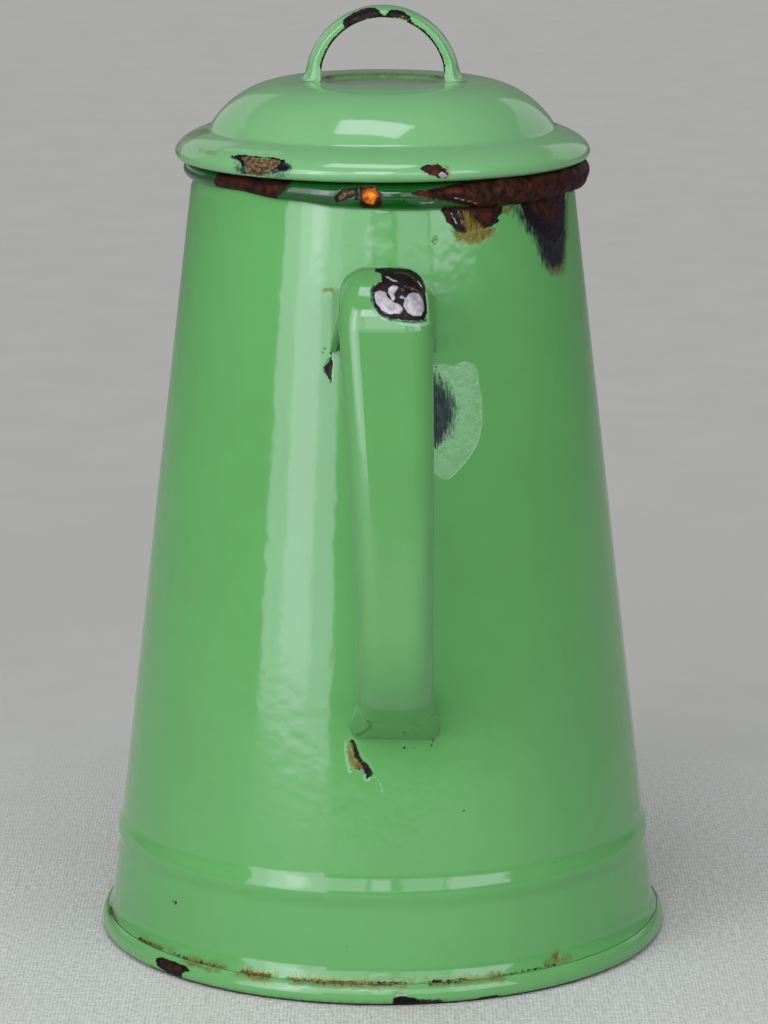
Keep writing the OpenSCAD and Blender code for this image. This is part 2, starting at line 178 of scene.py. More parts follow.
# %% Glaze group
glaze, given, out = new_group(
    "fired_glaze",
    [("Color", "Colour", (0.2, 0.4, 0.2, 1)), ("Float", "Clouding", 0.12), ("Float", "Ripple", 1.0),
     ("Float", "Pinholes", 1.0)],
    [("Color", "Colour"), ("Float", "Height")])
place = add(glaze, "TexCoord").outputs["Object"]
clouds = add(glaze, "TexNoise", Vector=place, Scale=22.0, Detail=3.0).outputs["Fac"]
wash = add(glaze, "TexNoise", Vector=place, Scale=160.0, Detail=2.0).outputs["Fac"]
shade = calc(glaze, "ADD", times(glaze, clouds, 0.75), times(glaze, wash, 0.25))
swing = times(glaze, calc(glaze, "SUBTRACT", shade, 0.5), given["Clouding"])
lighter = calc(glaze, "ADD", 1.0, times(glaze, swing, 2.0))
tinted = add(glaze, "VectorMath", {"operation": "SCALE"}, _0=given["Colour"], Scale=lighter).outputs[0]
cells = add(glaze, "TexVoronoi", Vector=place, Scale=95.0)
pick = add(glaze, "SeparateColor", Color=cells.outputs["Color"]).outputs
hole_size = times(glaze, ramp(glaze, pick[0], 0.55, 1.0), 0.034)
near = calc(glaze, "SUBTRACT", hole_size, cells.outputs["Distance"])
pinhole = times(glaze, ramp(glaze, near, -0.006, 0.006), given["Pinholes"])
peel = add(glaze, "TexNoise", Vector=place, Scale=260.0, Detail=1.0).outputs["Fac"]
dents = add(glaze, "TexNoise", Vector=place, Scale=48.0, Detail=0.0).outputs["Fac"]
relief = times(glaze, calc(glaze, "ADD", times(glaze, peel, 0.045), times(glaze, dents, 0.16)), given["Ripple"])
glaze.links.new(mix_colour(glaze, pinhole, tinted, rgb(24, 34, 26)), out["Colour"])
glaze.links.new(calc(glaze, "SUBTRACT", relief, times(glaze, pinhole, 0.05)), out["Height"])
print("group", glaze.name, "with", len(glaze.nodes), "nodes")

# %% [markdown]
# ## The damage group
# Where enamel breaks off, it leaves layers: a pale bruise, a smoky or navy rim of ground coat, the bare dark iron,
# tan and brown rust, ochre and orange where the rust is fresh, and grey scars of undercoat. Each layer is a number
# on the mesh: how far a point lies inside that layer's outline, in millimetres, plus three, so that a mesh without
# the number counts as far outside. The group frays each edge with noise and lays the layers over the glaze in
# order. Three noise textures give nine fields, which the layers share. The metal value keeps the dark layers from
# shining grey, as they would under the gloss of glass.

# %% Damage group
FAR = 3.0
LAYERS = {
    # layer: (darker colour, lighter colour, cover, soft edge mm, ragged edge mm, roughness, metal,
    #         height mm, edge field, colour field)
    "pale": (rgb(112, 168, 114), rgb(126, 178, 130), 0.8, 0.15, 0.2, 0.10, 0.0, 0.0, 3, 4),
    "stain": (rgb(84, 80, 24), rgb(128, 122, 56), 0.6, 0.9, 1.8, 0.3, 0.3, 0.0, 3, 1),
    "smoke": (rgb(12, 15, 25), rgb(46, 54, 64), 0.94, 1.5, 3.2, 0.5, 0.85, -0.04, 6, 7),
    "navy": (rgb(8, 13, 36), rgb(32, 46, 84), 0.92, 0.3, 0.5, 0.4, 0.6, -0.05, 0, 4),
    "iron": (rgb(6, 4, 5), rgb(36, 27, 22), 1.0, 0.10, 0.5, 0.4, 0.75, -0.10, 0, 1),
    "tan": (rgb(52, 40, 26), rgb(140, 118, 88), 1.0, 0.15, 0.6, 0.8, 0.7, 0.0, 1, 2),
    "rust": (rgb(25, 10, 1), rgb(76, 38, 9), 1.0, 0.25, 1.0, 0.6, 0.75, 0.03, 2, 4),
    "ochre": (rgb(86, 68, 14), rgb(134, 116, 38), 0.78, 0.4, 1.4, 0.6, 0.6, 0.0, 1, 8),
    "orange": (rgb(140, 50, 2), rgb(240, 150, 14), 1.0, 0.3, 0.8, 0.7, 0.5, 0.04, 0, 5),
    "scar": (rgb(126, 122, 130), rgb(178, 175, 182), 1.0, 0.12, 0.35, 0.3, 0.0, 0.0, 1, 4),
}
damage, given, out = new_group(
    "lost_enamel",
    [("Color", "Colour", (0.2, 0.4, 0.2, 1)), ("Float", "Roughness", 0.1), ("Float", "Height", 0.0)],
    [("Color", "Colour"), ("Float", "Roughness"), ("Float", "Metal"), ("Float", "Height")])
place = add(damage, "TexCoord").outputs["Object"]
drawn = add(damage, "VectorMath", {"operation": "MULTIPLY"}, _0=place, _1=(1, 1, 0.2)).outputs[0]
fields = []
for at, grain, detail in ((place, 1300.0, 3.0), (place, 480.0, 5.0), (drawn, 1500.0, 3.0)):
    grains = add(damage, "TexNoise", Vector=at, Scale=grain, Detail=detail, Roughness=0.65).outputs["Color"]
    fields += add(damage, "SeparateColor", Color=grains).outputs[:]
colour, rough, metal, height = given["Colour"], given["Roughness"], 0.0, given["Height"]
for layer, look in LAYERS.items():
    dark, light, cover, soft, ragged, layer_rough, layer_metal, layer_height, edge_field, colour_field = look
    depth = add(damage, "Attribute", {"attribute_name": layer}).outputs["Fac"]
    fray = calc(damage, "MULTIPLY_ADD", fields[edge_field], ragged * 2, -FAR - ragged)
    share = ramp(damage, calc(damage, "ADD", depth, fray), -soft, soft, to_high=cover)
    mottle = ramp(damage, fields[colour_field], 0.34, 0.68)
    colour = mix_colour(damage, share, colour, mix_colour(damage, mottle, dark, light))
    keep = calc(damage, "SUBTRACT", 1.0, share)
    layer_height = calc(damage, "MULTIPLY_ADD", mottle, 0.05, layer_height)
    rough, metal, height = (
        calc(damage, "MULTIPLY_ADD", below, keep, times(damage, share, above))
        for below, above in ((rough, layer_rough), (metal, layer_metal), (height, layer_height)))
for value, label in ((colour, "Colour"), (rough, "Roughness"), (metal, "Metal"), (height, "Height")):
    damage.links.new(value, out[label])
print("group", damage.name, "with", len(damage.nodes), "nodes for", len(LAYERS), "layers")

# %% [markdown]
# ## The enamels
# Every enamel is the same glass over the same steel, so one function makes them all from the two groups, and only
# the colour and the amount of ripple differ. Enamel is glass: it isn't metallic, and its roughness is low. Only
# where it has broken off does the dark, dull metal show.

# %% Enamel materials
def enamel(name, colour, roughness=0.09, clouding=0.12, ripple=1.0, pinholes=1.0):
    """A fired enamel with its wear."""
    material = bpy.data.materials.new(name)
    material.use_nodes = True
    tree = material.node_tree
    shader = tree.nodes["Principled BSDF"]
    coat = add(tree, "Group", {"node_tree": glaze}, Colour=colour, Clouding=clouding, Ripple=ripple,
               Pinholes=pinholes).outputs
    worn = add(tree, "Group", {"node_tree": damage}, Colour=coat["Colour"], Roughness=roughness,
               Height=coat["Height"]).outputs
    normal = add(tree, "Bump", Height=worn["Height"], Distance=MM, Strength=1.0).outputs[0]
    for value, socket in ((worn["Colour"], "Base Color"), (worn["Roughness"], "Roughness"),
                          (worn["Metal"], "Metallic"), (normal, "Normal")):
        tree.links.new(value, shader.inputs[socket])
    shader.inputs["IOR"].default_value = 1.6
    shader.inputs["Specular Tint"].default_value = (0.87, 0.77, 1.0, 1)
    return material


body_green = enamel("body_enamel", rgb(89, 155, 88), ripple=1.1)
base_green = enamel("base_enamel", rgb(97, 158, 95))
handle_green = enamel("handle_enamel", rgb(85, 145, 83), ripple=0.6)
lid_green = enamel("lid_enamel", rgb(108, 163, 110), ripple=0.7)
rim_green = enamel("rim_enamel", rgb(8, 72, 14), clouding=0.3, ripple=1.5, pinholes=0.3)
inner_white = enamel("inner_enamel", rgb(214, 214, 198), clouding=0.08)
print("enamels:", [m.name for m in bpy.data.materials if m.name.endswith("_enamel")])

# %% [markdown]
# ## Grids, not primitives
# Each pressing is a sheet whose shape is known exactly, so it is made as a grid of points in numpy: rows along the
# profile, columns round the axis. A grid can be as fine as the chips need where they are, and coarse elsewhere.

# %% Grid helpers
WELD_DISTANCE = 1e-7
SHARP_FROM = math.radians(50)


def skin(name, grid, body, node, materials, wrap_rows=False, chart=None, marks=None, parts=None):
    """A mesh piece from a grid of points in mm, closed round its columns, which stands for a CAD node.

    Marks are the damage: for each layer, its shapes on the grid's chart.
    """
    rows, cols = grid.shape[:2]
    index = np.arange(rows * cols).reshape(rows, cols)
    index = np.hstack([index, index[:, :1]])
    if wrap_rows:
        index = np.vstack([index, index[:1]])
    quads = np.stack([index[:-1, :-1], index[:-1, 1:], index[1:, 1:], index[1:, :-1]], -1)
    mesh = bpy.data.meshes.new(name)
    mesh.from_pydata((grid.reshape(-1, 3) * MM).tolist(), [], quads.reshape(-1, 4).tolist())
    for layer, shapes in (marks or {}).items():
        values = np.clip(depth_inside(chart, shapes) + FAR, 0, 2 * FAR).astype(np.float32).ravel()
        mesh.attributes.new(layer, "FLOAT", "POINT").data.foreach_set("value", values)
    for material in materials:
        mesh.materials.append(material)
    if parts is not None:
        mesh.polygons.foreach_set("material_index", np.repeat(parts[:len(quads)], cols).astype(np.int32))
    return piece_from(mesh, body, node)


def piece_from(mesh, body, node):
    """Cleans a mesh, turns it outside out, smooths it and places it on its body for a CAD node."""
    work = bmesh.new()
    work.from_mesh(mesh)
    bmesh.ops.remove_doubles(work, verts=work.verts, dist=WELD_DISTANCE)
    bmesh.ops.recalc_face_normals(work, faces=work.faces)
    work.to_mesh(mesh)
    if work.calc_volume(signed=True) < 0:
        mesh.flip_normals()
    work.free()
    mesh.shade_smooth()
    mesh.set_sharp_from_angle(angle=SHARP_FROM)
    piece = bpy.data.objects.new(mesh.name, mesh)
    bpy.context.collection.objects.link(piece)
    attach(piece, body)
    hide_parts(node)
    print(f"{mesh.name}: {len(mesh.vertices)} points, {len(mesh.polygons)} faces")
    return piece


print("edges are sharp from", round(math.degrees(SHARP_FROM)), "degrees")

# %% [markdown]
# ## Profiles
# A pressed part is easiest to describe by its profile, as a draughtsman would: straight runs, arcs and curves in
# one plane. These helpers draw profiles, give them a thickness and swing them round the axis.

# %% Profile helpers
def spaced(*stops):
    """Values from stop to stop. Each stop is (value, step up to the next stop)."""
    parts = []
    for (start, step), (end, _) in zip(stops, stops[1:]):
        parts.append(np.linspace(start, end, max(1, round(abs(end - start) / step)), endpoint=False))
    return np.concatenate(parts + [[stops[-1][0]]])


def arc(mid, radius, start, end, steps):
    """Points on an arc, from one angle in degrees to another."""
    turn = np.radians(np.linspace(start, end, steps + 1))
    return np.array(mid) + radius * np.column_stack([np.cos(turn), np.sin(turn)])


def curve(points, share):
    """Points of a Bezier curve at the given shares of its length."""
    points = [np.array(p, float) for p in points]
    share = np.atleast_1d(share)[:, None]
    while len(points) > 1:
        points = [a + (b - a) * share for a, b in zip(points, points[1:])]
    return points[0]


def left_side(path, distance):
    """The path shifted to its left by a distance, with mitred corners."""
    step = np.diff(path, axis=0)
    turned_left = np.column_stack([-step[:, 1], step[:, 0]])
    turned_left /= np.linalg.norm(turned_left, axis=1)[:, None]
    before = np.vstack([turned_left[:1], turned_left])
    after = np.vstack([turned_left, turned_left[-1:]])
    way = before + after
    way /= np.linalg.norm(way, axis=1)[:, None]
    return path + distance * way / np.sum(way * before, axis=1)[:, None]


def turned(profile, degrees):
    """A profile of (distance from the axis, height) swung round the axis. Zero degrees is the handle's side."""
    turn = np.radians(degrees)
    if profile.ndim == 2:
        profile = profile[:, None]
    r, z = profile[..., 0], profile[..., 1]
    return np.stack([r * np.sin(turn), -r * np.cos(turn), z + 0 * turn], -1)


def ease(share):
    """A smooth start and stop."""
    return (1 - np.cos(np.pi * np.clip(share, 0, 1))) / 2


def between(a, b, share):
    """A value part way from a to b."""
    return a + (b - a) * share


def travel(path):
    """Distance along a path, from its first point to each of its points."""
    return np.concatenate([[0], np.cumsum(np.linalg.norm(np.diff(path, axis=0), axis=1))])


print("quarter of a unit circle, measured:", round(travel(arc((0, 0), 1, 0, 90, 36))[-1], 4))

# %% [markdown]
# ## Damage is drawn on a flat chart
# Each pressing has a chart, as if its skin were peeled off and laid flat in millimetres. A chip is an outline on
# the chart, and a scratch or a spot is a line or a point with a half width. From these come the numbers that the
# damage group reads, and the depth to which a chip is pressed in.

# %% Damage helpers
BITE_LEAD, BITE_RUN = 0.15, 0.55


def depth_inside(chart, shapes):
    """How far each point of a chart lies inside the nearest shape, in mm, and minus FAR where none is near.

    A shape is a half width and then its points. A half width of zero means a closed outline.
    """
    best = np.full(chart.shape[:-1], -FAR)
    for half_width, *numbers in shapes:
        points = np.array(numbers, float).reshape(-1, 2)
        near = np.all(abs(chart - (points.max(0) + points.min(0)) / 2) < np.ptp(points, 0) / 2 + FAR + half_width, -1)
        at = chart[near][:, None]
        first, last = points, np.roll(points, -1, 0)
        if half_width and len(points) > 1:
            first, last = points[:-1], points[1:]
        way = last - first
        share = np.clip(((at - first) * way).sum(-1) / np.maximum((way * way).sum(-1), 1e-9), 0, 1)
        away = np.linalg.norm(first + share[..., None] * way - at, axis=-1).min(1)
        if half_width:
            value = half_width - away
        else:
            rises = (first[:, 1] > at[..., 1]) != (last[:, 1] > at[..., 1])
            level = np.where(way[:, 1] == 0, 1, way[:, 1])
            crosses = rises & (at[..., 0] < first[:, 0] + (at[..., 1] - first[:, 1]) / level * way[:, 0])
            value = np.where(crosses.sum(1) % 2 == 1, away, -away)
        best[near] = np.maximum(best[near], value)
    return best


def bitten(grid, chart, marks, deep, side=1):
    """The grid with its chips pressed in. Deep gives the depth of each layer in mm.

    The side is 1 where the grid's own normals point out of the sheet, and -1 where they point into it.
    """
    sink = np.zeros(grid.shape[:2])
    for layer, depth in deep.items():
        share = ease((depth_inside(chart, marks[layer]) + BITE_LEAD) / BITE_RUN)
        sink = np.maximum(sink, share * depth)
    return grid - side * face_normals(grid) * sink[..., None]


def face_normals(grid):
    """Unit normals of a grid that is closed round its columns."""
    down = np.gradient(grid, axis=0)
    wide = np.concatenate([grid[:, -1:], grid, grid[:, :1]], 1)
    normal = np.cross(np.gradient(wide, axis=1)[:, 1:-1], down)
    return normal / np.maximum(np.linalg.norm(normal, axis=-1, keepdims=True), 1e-9)


spot = [[1.0, 0.0, 0.0]]  # half a width of 1 mm round the chart's origin
print("depth at a spot's middle and edge:", depth_inside(np.array([[0.0, 0.0], [1.0, 0.0]]), spot))

# %% [markdown]
# ## The body wall
# One cone of sheet steel with a pressed rib near its foot. At the top the sheet rolls outwards round a false wire
# and makes the bead that stiffens the rim. The inner face of the cone runs over into the outside of the bead, and
# that is how the dark green rim coat ends in a clean line at the crease under the bead.

# %% Body wall profile
SHEET = 1.2
FOOT_R, TOP_R, FOOT_Z, WALL_H = 73.0, 49.6, 1.25, 198.0
RIB_Z, RIB_W, RIB_H = 28.0, 9.0, 0.8
SEAM_H, SEAM_FILL, SEAM_FILL_H = 5.5, 1.1, 4.0
BEAD_R, CURL_END = 2.9, -88
BEAD = np.array([49.5, 202.1])
TAPER = (FOOT_R - TOP_R) / WALL_H


def wall_r(z):
    """Outer radius of the cone at a height."""
    return FOOT_R - TAPER * z


def ribbed_r(z):
    """Outer radius of the cone at a height, with the pressed rib."""
    wave = np.cos(2 * np.pi * (z - RIB_Z) / RIB_W)
    return wall_r(z) + np.where(abs(z - RIB_Z) < RIB_W / 2, RIB_H * (1 + wave) / 2, 0)


wall_z = spaced((FOOT_Z, 2), (SEAM_H, 0.05), (SEAM_H + 0.05, 0.4), (10, 1.4), (23, 0.75), (33, 1.6), (52, 0.8),
                (68, 2.2), (114, 0.9), (172, 0.5), (WALL_H, 1))
seam_fill = np.where(wall_z > SEAM_H, SEAM_FILL * (1 - np.clip((wall_z - SEAM_H) / SEAM_FILL_H, 0, 1)) ** 2, 0)
wall_face = np.column_stack([ribbed_r(wall_z) + seam_fill, wall_z])
hollow_r = BEAD_R - SHEET
neck = np.array([TOP_R, WALL_H]) - BEAD
touch = math.degrees(math.atan2(neck[1], neck[0])) + 360 - math.degrees(math.acos(hollow_r / np.linalg.norm(neck)))
hidden_curl = arc(BEAD, hollow_r, touch, CURL_END, 8)
bead_face = arc(BEAD, BEAD_R, CURL_END, touch, 36)
inner_z = spaced((WALL_H, 7), (34, 1.2), (22, 5), (FOOT_Z, 1))
inner_face = np.column_stack([ribbed_r(inner_z) - SHEET / math.cos(math.atan(TAPER)), inner_z])
wall_profile = np.vstack([wall_face, hidden_curl, bead_face, inner_face])
wall_degrees = spaced((-180, 3), (-90, 1.5), (-60, 0.8), (-24, 0.45), (48, 0.7), (72, 1.0), (90, 3), (180, 1))[:-1]
print("wall grid:", len(wall_profile), "rows by", len(wall_degrees), "columns")

# %% [markdown]
# ## The rim is bent
# The bead isn't even all round. Years of lids and knocks have flattened it on the handle's left and pulled it down
# in front, so its section grows and shrinks with the angle, measured from the top of the bead, where the lid rests.

# %% Wall grid and chart
RIM_CHART = 300.0
OFF_CHART = -100.0
BEAD_ANCHOR = np.array([48.5, 205.0])
BEAD_SIZE = [(-180, 1.0), (-120, 1.0), (-90, 0.76), (-45, 0.70), (-34, 0.86), (-24, 0.90), (-15, 1.04), (0, 1.12),
             (11, 1.16), (60, 1.0), (180, 1.0)]
curl_from, bead_from = len(wall_face), len(wall_face) + len(hidden_curl)
inner_from = len(wall_profile) - len(inner_face)
bead_size = np.interp(wall_degrees, *zip(*BEAD_SIZE))[:, None]
bent_profile = np.repeat(wall_profile[:, None], len(wall_degrees), 1)
bead_rows = bent_profile[curl_from:inner_from]
bead_rows[:] = BEAD_ANCHOR + (bead_rows - BEAD_ANCHOR) * bead_size
wall_grid = turned(bent_profile, wall_degrees)
wall_v = np.full(len(wall_profile), OFF_CHART)
wall_v[:curl_from] = wall_z
wall_v[bead_from:inner_from] = RIM_CHART + travel(bead_face)
wall_chart = np.stack([np.radians(wall_degrees) * wall_r(np.minimum(wall_v, WALL_H))[:, None],
                       wall_v[:, None] + 0 * wall_degrees], -1)

# %% [markdown]
# ## Where the body is damaged
# Distances are in millimetres: round the cone from the handle's side, and up from the table, or from 300 upwards
# across the bead. The worst is at the upper right, where rust has eaten under the rim and two big chips run down
# from it. The others are by the handle's two roots and along the seam at the foot.

# %% Damage on the wall
WALL_MARKS = {
    "pale": [
        [0, 11.9, 159.7, 13.8, 160.1, 15.8, 160, 17.9, 159.4, 19.6, 160.2, 21.3, 160.4, 23.8, 159.3, 24.9, 157,
         24.9, 154.6, 25.7, 151.3, 25.9, 146.3, 25.4, 142.6, 24.3, 139.4, 22, 136.3, 19.3, 133.5, 17.1, 131.6,
         14.9, 131.6, 12.4, 133.9, 10.9, 146.3], [0.45, -9.2, 66.4, -9.3, 63.4, -8.9, 60.9, -8.2, 58.9],
        [0.2, -2.1, 57.8, -1.1, 56.8, -0.4, 55.5, -0.1, 53.8], [1, -4, 57.5]],
    "stain": [
        [0, 18.1, 193.8, 19.2, 192.1, 21.4, 191.5, 24.2, 191.6, 26.8, 192.9, 30.4, 192.8, 30.1, 191.4, 28.2, 190.2,
         25.6, 189.3, 23.6, 188.9, 20.6, 189.1, 19.2, 190], [0.7, 62.4, 197, 61.6, 193.8, 61.2, 190.8, 60.4, 187.4],
        [0, 44.9, 186.8, 46, 183.5, 47.7, 181.2, 50.2, 178.7, 55.3, 177.9, 58.5, 179.4, 59.4, 186],
        [0.5, -106, 6.2, -92, 6.4], [0.4, -76, 6.2, -60, 6.2], [0.5, -54, 6.2, -42, 6.2], [0.6, -37, 6.3, -28, 6.2],
        [0.5, -24, 6.1, 8, 6.2], [0.4, 11, 6.2, 30, 6.2], [1.3, 47.6, 7.4], [0.6, 44, 6.4, 52, 6.6], [0.8, 100, 7.5]],
    "smoke": [
        [0, 10.5, 157, 12.9, 157.2, 15.1, 155.4, 17.2, 152.6, 18.3, 149.6, 18.3, 146.1, 17, 142.8, 14.9, 140,
         12.2, 139, 10.5, 139], [1, 12.2, 154.5, 13.2, 150, 13.4, 144],
        [0.7, 37.2, 196.4, 39.9, 193.1, 42.9, 190, 46.1, 187, 49.1, 185.4],
        [0, 37.6, 195.4, 40.9, 191.8, 43.9, 188.5, 45.4, 185.8, 46.4, 183, 48.6, 180.9, 52.5, 179.9, 56.2, 180.7,
         58.2, 184.1, 59.2, 188, 60.8, 196]],
    "navy": [[0.25, -5, 59.3, -4.2, 57.9, -3.7, 57], [0.7, 18, 198, 18.3, 195.9, 19.3, 194, 20.9, 192.3]],
    "iron": [
        [0, 37.5, 200, 39.7, 194.8, 42.6, 192, 45.8, 189.6, 49, 187.4, 52.4, 186.6, 55.3, 187.6, 57.5, 189.7,
         59.6, 194, 61, 200],
        [0, 13.6, 200, 15.2, 197.6, 15.9, 196.2, 16.5, 195.1, 17.9, 193.8, 19, 192.4, 21, 191.9, 24.6, 192.8,
         28.4, 193, 31.5, 194.4, 30.1, 195.1, 32.2, 196.2, 32.2, 200],
        [0, -14.5, 159.4, -13.5, 160.7, -12.6, 161.1, -12.4, 159.9, -13, 157.8, -12.8, 155, -13.6, 156.6,
         -14.3, 157.8],
        [0.1, -15.1, 163.5, -14, 164, -13, 162.8, -12.8, 161.1, -14.3, 161.3, -15, 162.5, -15.1, 163.5],
        [0.09, -14.5, 159.6, -14.9, 158.6, -14.4, 157.6],
        [0, -8.3, 66.9, -7.2, 66.8, -6.5, 65.3, -5.9, 63.3, -5.2, 61.8, -3.9, 60.9, -2.9, 59.5, -2.2, 58, -3, 58.2,
         -3.3, 56.9, -3.9, 57, -4.4, 59, -5.3, 60, -5.9, 61.3, -7.2, 62.4, -7.3, 63.7, -7.8, 65.7],
        [0.2, 13.3, 159.6, 13.8, 158.4, 14.5, 156.9, 14.7, 155.1], [0.1, 12.9, 168.5, 13.2, 166.5, 13.6, 164.4],
        [0.2, 13.6, 68.4, 13.2, 67.2, 12.7, 66], [0.1, 12.7, 66.2, 12.2, 64.6], [0.36, -9.2, 14.7], [0.25, 5.5, 64.8],
        [0.16, 8.1, 64.7], [0.18, -1.2, 51.6], [0.15, 1.1, 52.8], [0.15, -5, 54.7], [0.22, -8.1, 59.1],
        [0.2, 38.8, 182.2], [0.22, 25.9, 149.8], [0.18, -6.1, 82.3], [0.18, 26.8, 119.5], [0.18, 38.4, 156.7],
        [0.22, 58.4, 151.7], [0.2, 50, 102.5], [0.18, 32.1, 35], [0.25, 47.5, 31.6], [0.12, -1, 5.9, 6, 5.8],
        [0.12, -14, 5.8, -8, 5.9], [0.2, -104, 5.9, -98, 6], [0.25, -33, 5.9, -30, 5.8], [0.3, 12.5, 5.9, 14.5, 5.8],
        [0, -9.5, 306.3, -6.2, 307, -5.6, 305, -8.2, 303.9, -10.9, 302.6, -11.4, 303.9],
        [0.2, -6.2, 307, -5.9, 303.5], [0.25, 5, 303.6]],
    "tan": [[0, -10.6, 303.9, -9.4, 305.4, -6.9, 306.2, -6.6, 305.4, -8.4, 304.7, -9.8, 303.3],
        [0, -6.9, 60.9, -5.9, 61.2, -5, 59.9, -5.4, 59.2, -6.6, 59.2], [0.5, 16.6, 197.4, 16.9, 195.6],
        # The last tan shape, a streak along the lower edge of the rust crust on the bead, is a painted highlight: it
        # stands in for the sheen on the rust.
        [0.35, 19.5, 197.4, 20.6, 194.4, 21.9, 192.6], [0.5, 15, 304, 18.5, 303.6, 23, 302.5]],
    "rust": [[0, -48, 309, -23, 309, -22.8, 307, -24.2, 304.8, -26.2, 302.4, -28, 299.5, -47, 299.5, -48.8, 303],
        [0, -5.4, 307.2, -1.6, 307.4, -0.4, 305.1, 0.1, 302.7, -1, 300.6, -4.9, 300.8, -5.4, 303],
        [0, 6.2, 305.7, 12, 306.6, 20, 308, 30, 309, 84, 309, 88, 305, 84, 300, 78, 299, 26, 299, 22.5, 300.8,
         18.5, 302.4, 14, 303.6, 8.4, 304.8],
        [0, 13, 200, 15, 197.6, 15.7, 196.2, 16.3, 195.1, 17.6, 193.9, 17.3, 196.1, 17.4, 200],
        [0, 20.6, 200, 22.2, 197.6, 23.4, 195.6, 25.2, 194.2, 28, 193.8, 29.6, 194.6, 29.2, 196, 31.4, 196.9,
         31.4, 200], [0, 38.9, 200, 42.6, 196.2, 46.8, 193.4, 50.8, 192.2, 55.4, 191.6, 58, 193.6, 60.1, 200],
        [0.35, -4.6, 60.5, -3.9, 59.6], [0.35, -61.2, 18.9, -59.9, 18.5], [0.22, -105, 5.8, -99, 5.9, -90, 5.7],
        [0.22, -76, 5.8, -64, 5.8], [0.2, -60, 5.8, -42, 5.8], [0.28, -37, 5.8, -29, 5.8], [0.2, -24, 5.8, 5, 5.8],
        [0.16, 11, 5.8, 22, 5.8], [0.1, 28, 5.8, 47, 5.8]],
    "ochre": [
        [0, 17.6, 193.6, 18.2, 191.8, 19.2, 190.4, 21.2, 190.4, 22.6, 189.2, 25.7, 189.6, 28, 190.8, 30.2, 192.6,
         27.6, 192.6, 24.6, 192.9, 22.2, 192.9, 20.6, 191.8],
        [0, 20.2, 198, 22, 197.6, 23.4, 195.4, 26.2, 193.4, 28, 190.8, 22.6, 189.2, 21.4, 192.8],
        [0, 32.2, 197.4, 35.6, 197.2, 34.2, 195.6, 32.9, 195.9], [0.35, 63.2, 199, 62.3, 195.6, 61.6, 192.4],
        [0.3, 36.6, 197.4, 35.2, 197.3],
        [0, -8.7, 66.9, -8.9, 64.2, -8.5, 61.7, -7.8, 59.6, -6.3, 59.3, -5.7, 60.9, -6.8, 62.2, -7.3, 63.5,
         -7.6, 65.9], [0.4, -14.5, 178.1, -12.8, 178.3], [0.3, 13.2, 190.9, 12.7, 190], [0.22, 13.7, 69.2, 13.6, 68],
        [0.2, -61, 18.4, -60.2, 18.3], [0.5, 47.7, 6.8, 47.6, 7.8], [0.3, -36, 6, -29, 5.9], [0.22, -103, 6, -98, 6],
        [0.25, -71, 6.1, -67, 6], [0.2, -20, 6, -2, 5.9], [0.3, 2.4, 6.3], [0.3, 30.3, 6.1, 27.5, 6.1]],
    "orange": [[0, -4.7, 306.2, -2, 306.8, -1.2, 305.5, -1.5, 303.9, -2.3, 302.5, -3.9, 302.9, -4.6, 304.5]],
    "scar": [[0.16, -4, 59.3], [0.1, -3.5, 58.8], [0.15, 8.7, 303.4, 12.1, 303.3], [0.12, 5.2, 304.2],
        [0.14, 30.5, 301.4], [0.12, 31.6, 301.7], [0.12, 33.8, 305.2], [0.18, 17.6, 197, 18.9, 194.4],
        # This grey streak along the lower edge of the rust crust on the bead is a painted highlight, for the sheen on
        # the rust.
        [0.14, 17, 304.2, 22.4, 302.9]],
}
print("shapes on the wall:", {layer: len(shapes) for layer, shapes in WALL_MARKS.items()})

# %% [markdown]
# ## Chips sink and rust swells
# A chip is as deep as the glass was thick, so its points are pressed in along the sheet's own normals. Old rust
# does the opposite: it grows, so the crust on the rim is pushed out in lumps made by noise.

# %% Body wall mesh
CRUST_EDGE, CRUST_SWELL = 2.2, 1.15
CRUST_LUMPS = ((0.35, 0.6), (0.9, 0.35))  # fineness and height of the lumps
RIM_COAT_ENDS = 6  # rows before the inner face
crust = depth_inside(wall_chart, [WALL_MARKS["rust"][2]])
wall_grid = bitten(wall_grid, wall_chart, WALL_MARKS,
                   {"iron": 0.25, "smoke": 0.1, "tan": 0.2, "rust": 0.2, "ochre": 0.1})
swell = np.zeros(wall_grid.shape[:2])
for row, col in np.argwhere(crust > 0):
    at = Vector(wall_grid[row, col])
    lumps = sum(noise.noise(at * fine) * tall for fine, tall in CRUST_LUMPS)
    swell[row, col] = ease(crust[row, col] / CRUST_EDGE) * (CRUST_SWELL + lumps)
wall_grid += face_normals(wall_grid) * swell[..., None]
rows = np.arange(len(wall_profile))
wall_parts = np.where(rows < bead_from, 0, np.where(rows < inner_from - RIM_COAT_ENDS, 1, 2))
body_wall = skin("enamelled_wall", wall_grid, "pot", "body_wall",
                 [body_green, rim_green, inner_white], wrap_rows=True, chart=wall_chart, marks=WALL_MARKS,
                 parts=wall_parts)

# %% [markdown]
# ## The strainer
# Thirteen small holes behind the spout let the coffee out and keep the grounds in. They are bored through the wall
# with plain round cutters, which are thrown away afterwards.

# %% Strainer holes
HOLE_D, HOLE_PITCH, HOLE_ROW, HOLE_MID = 4.0, 8.0, 6.96, 73.0
HOLES_IN_LINES = (3, 2, 3, 2, 3)
HOLE_SIDES, BORE_ENDS = 24, (55, 75)
borer = bmesh.new()
for line, many in enumerate(HOLES_IN_LINES):
    z = HOLE_MID + (line - 2) * HOLE_ROW
    for number in range(many):
        x = (number - (many - 1) / 2) * HOLE_PITCH
        near_ring, far_ring = (
            [borer.verts.new((MM * (x + HOLE_D / 2 * math.cos(a)), MM * y, MM * (z + HOLE_D / 2 * math.sin(a))))
             for a in np.linspace(0, 2 * math.pi, HOLE_SIDES, endpoint=False)] for y in BORE_ENDS)
        for i in range(HOLE_SIDES):
            borer.faces.new((near_ring[i - 1], near_ring[i], far_ring[i], far_ring[i - 1]))
        borer.faces.new(near_ring[::-1])
        borer.faces.new(far_ring)
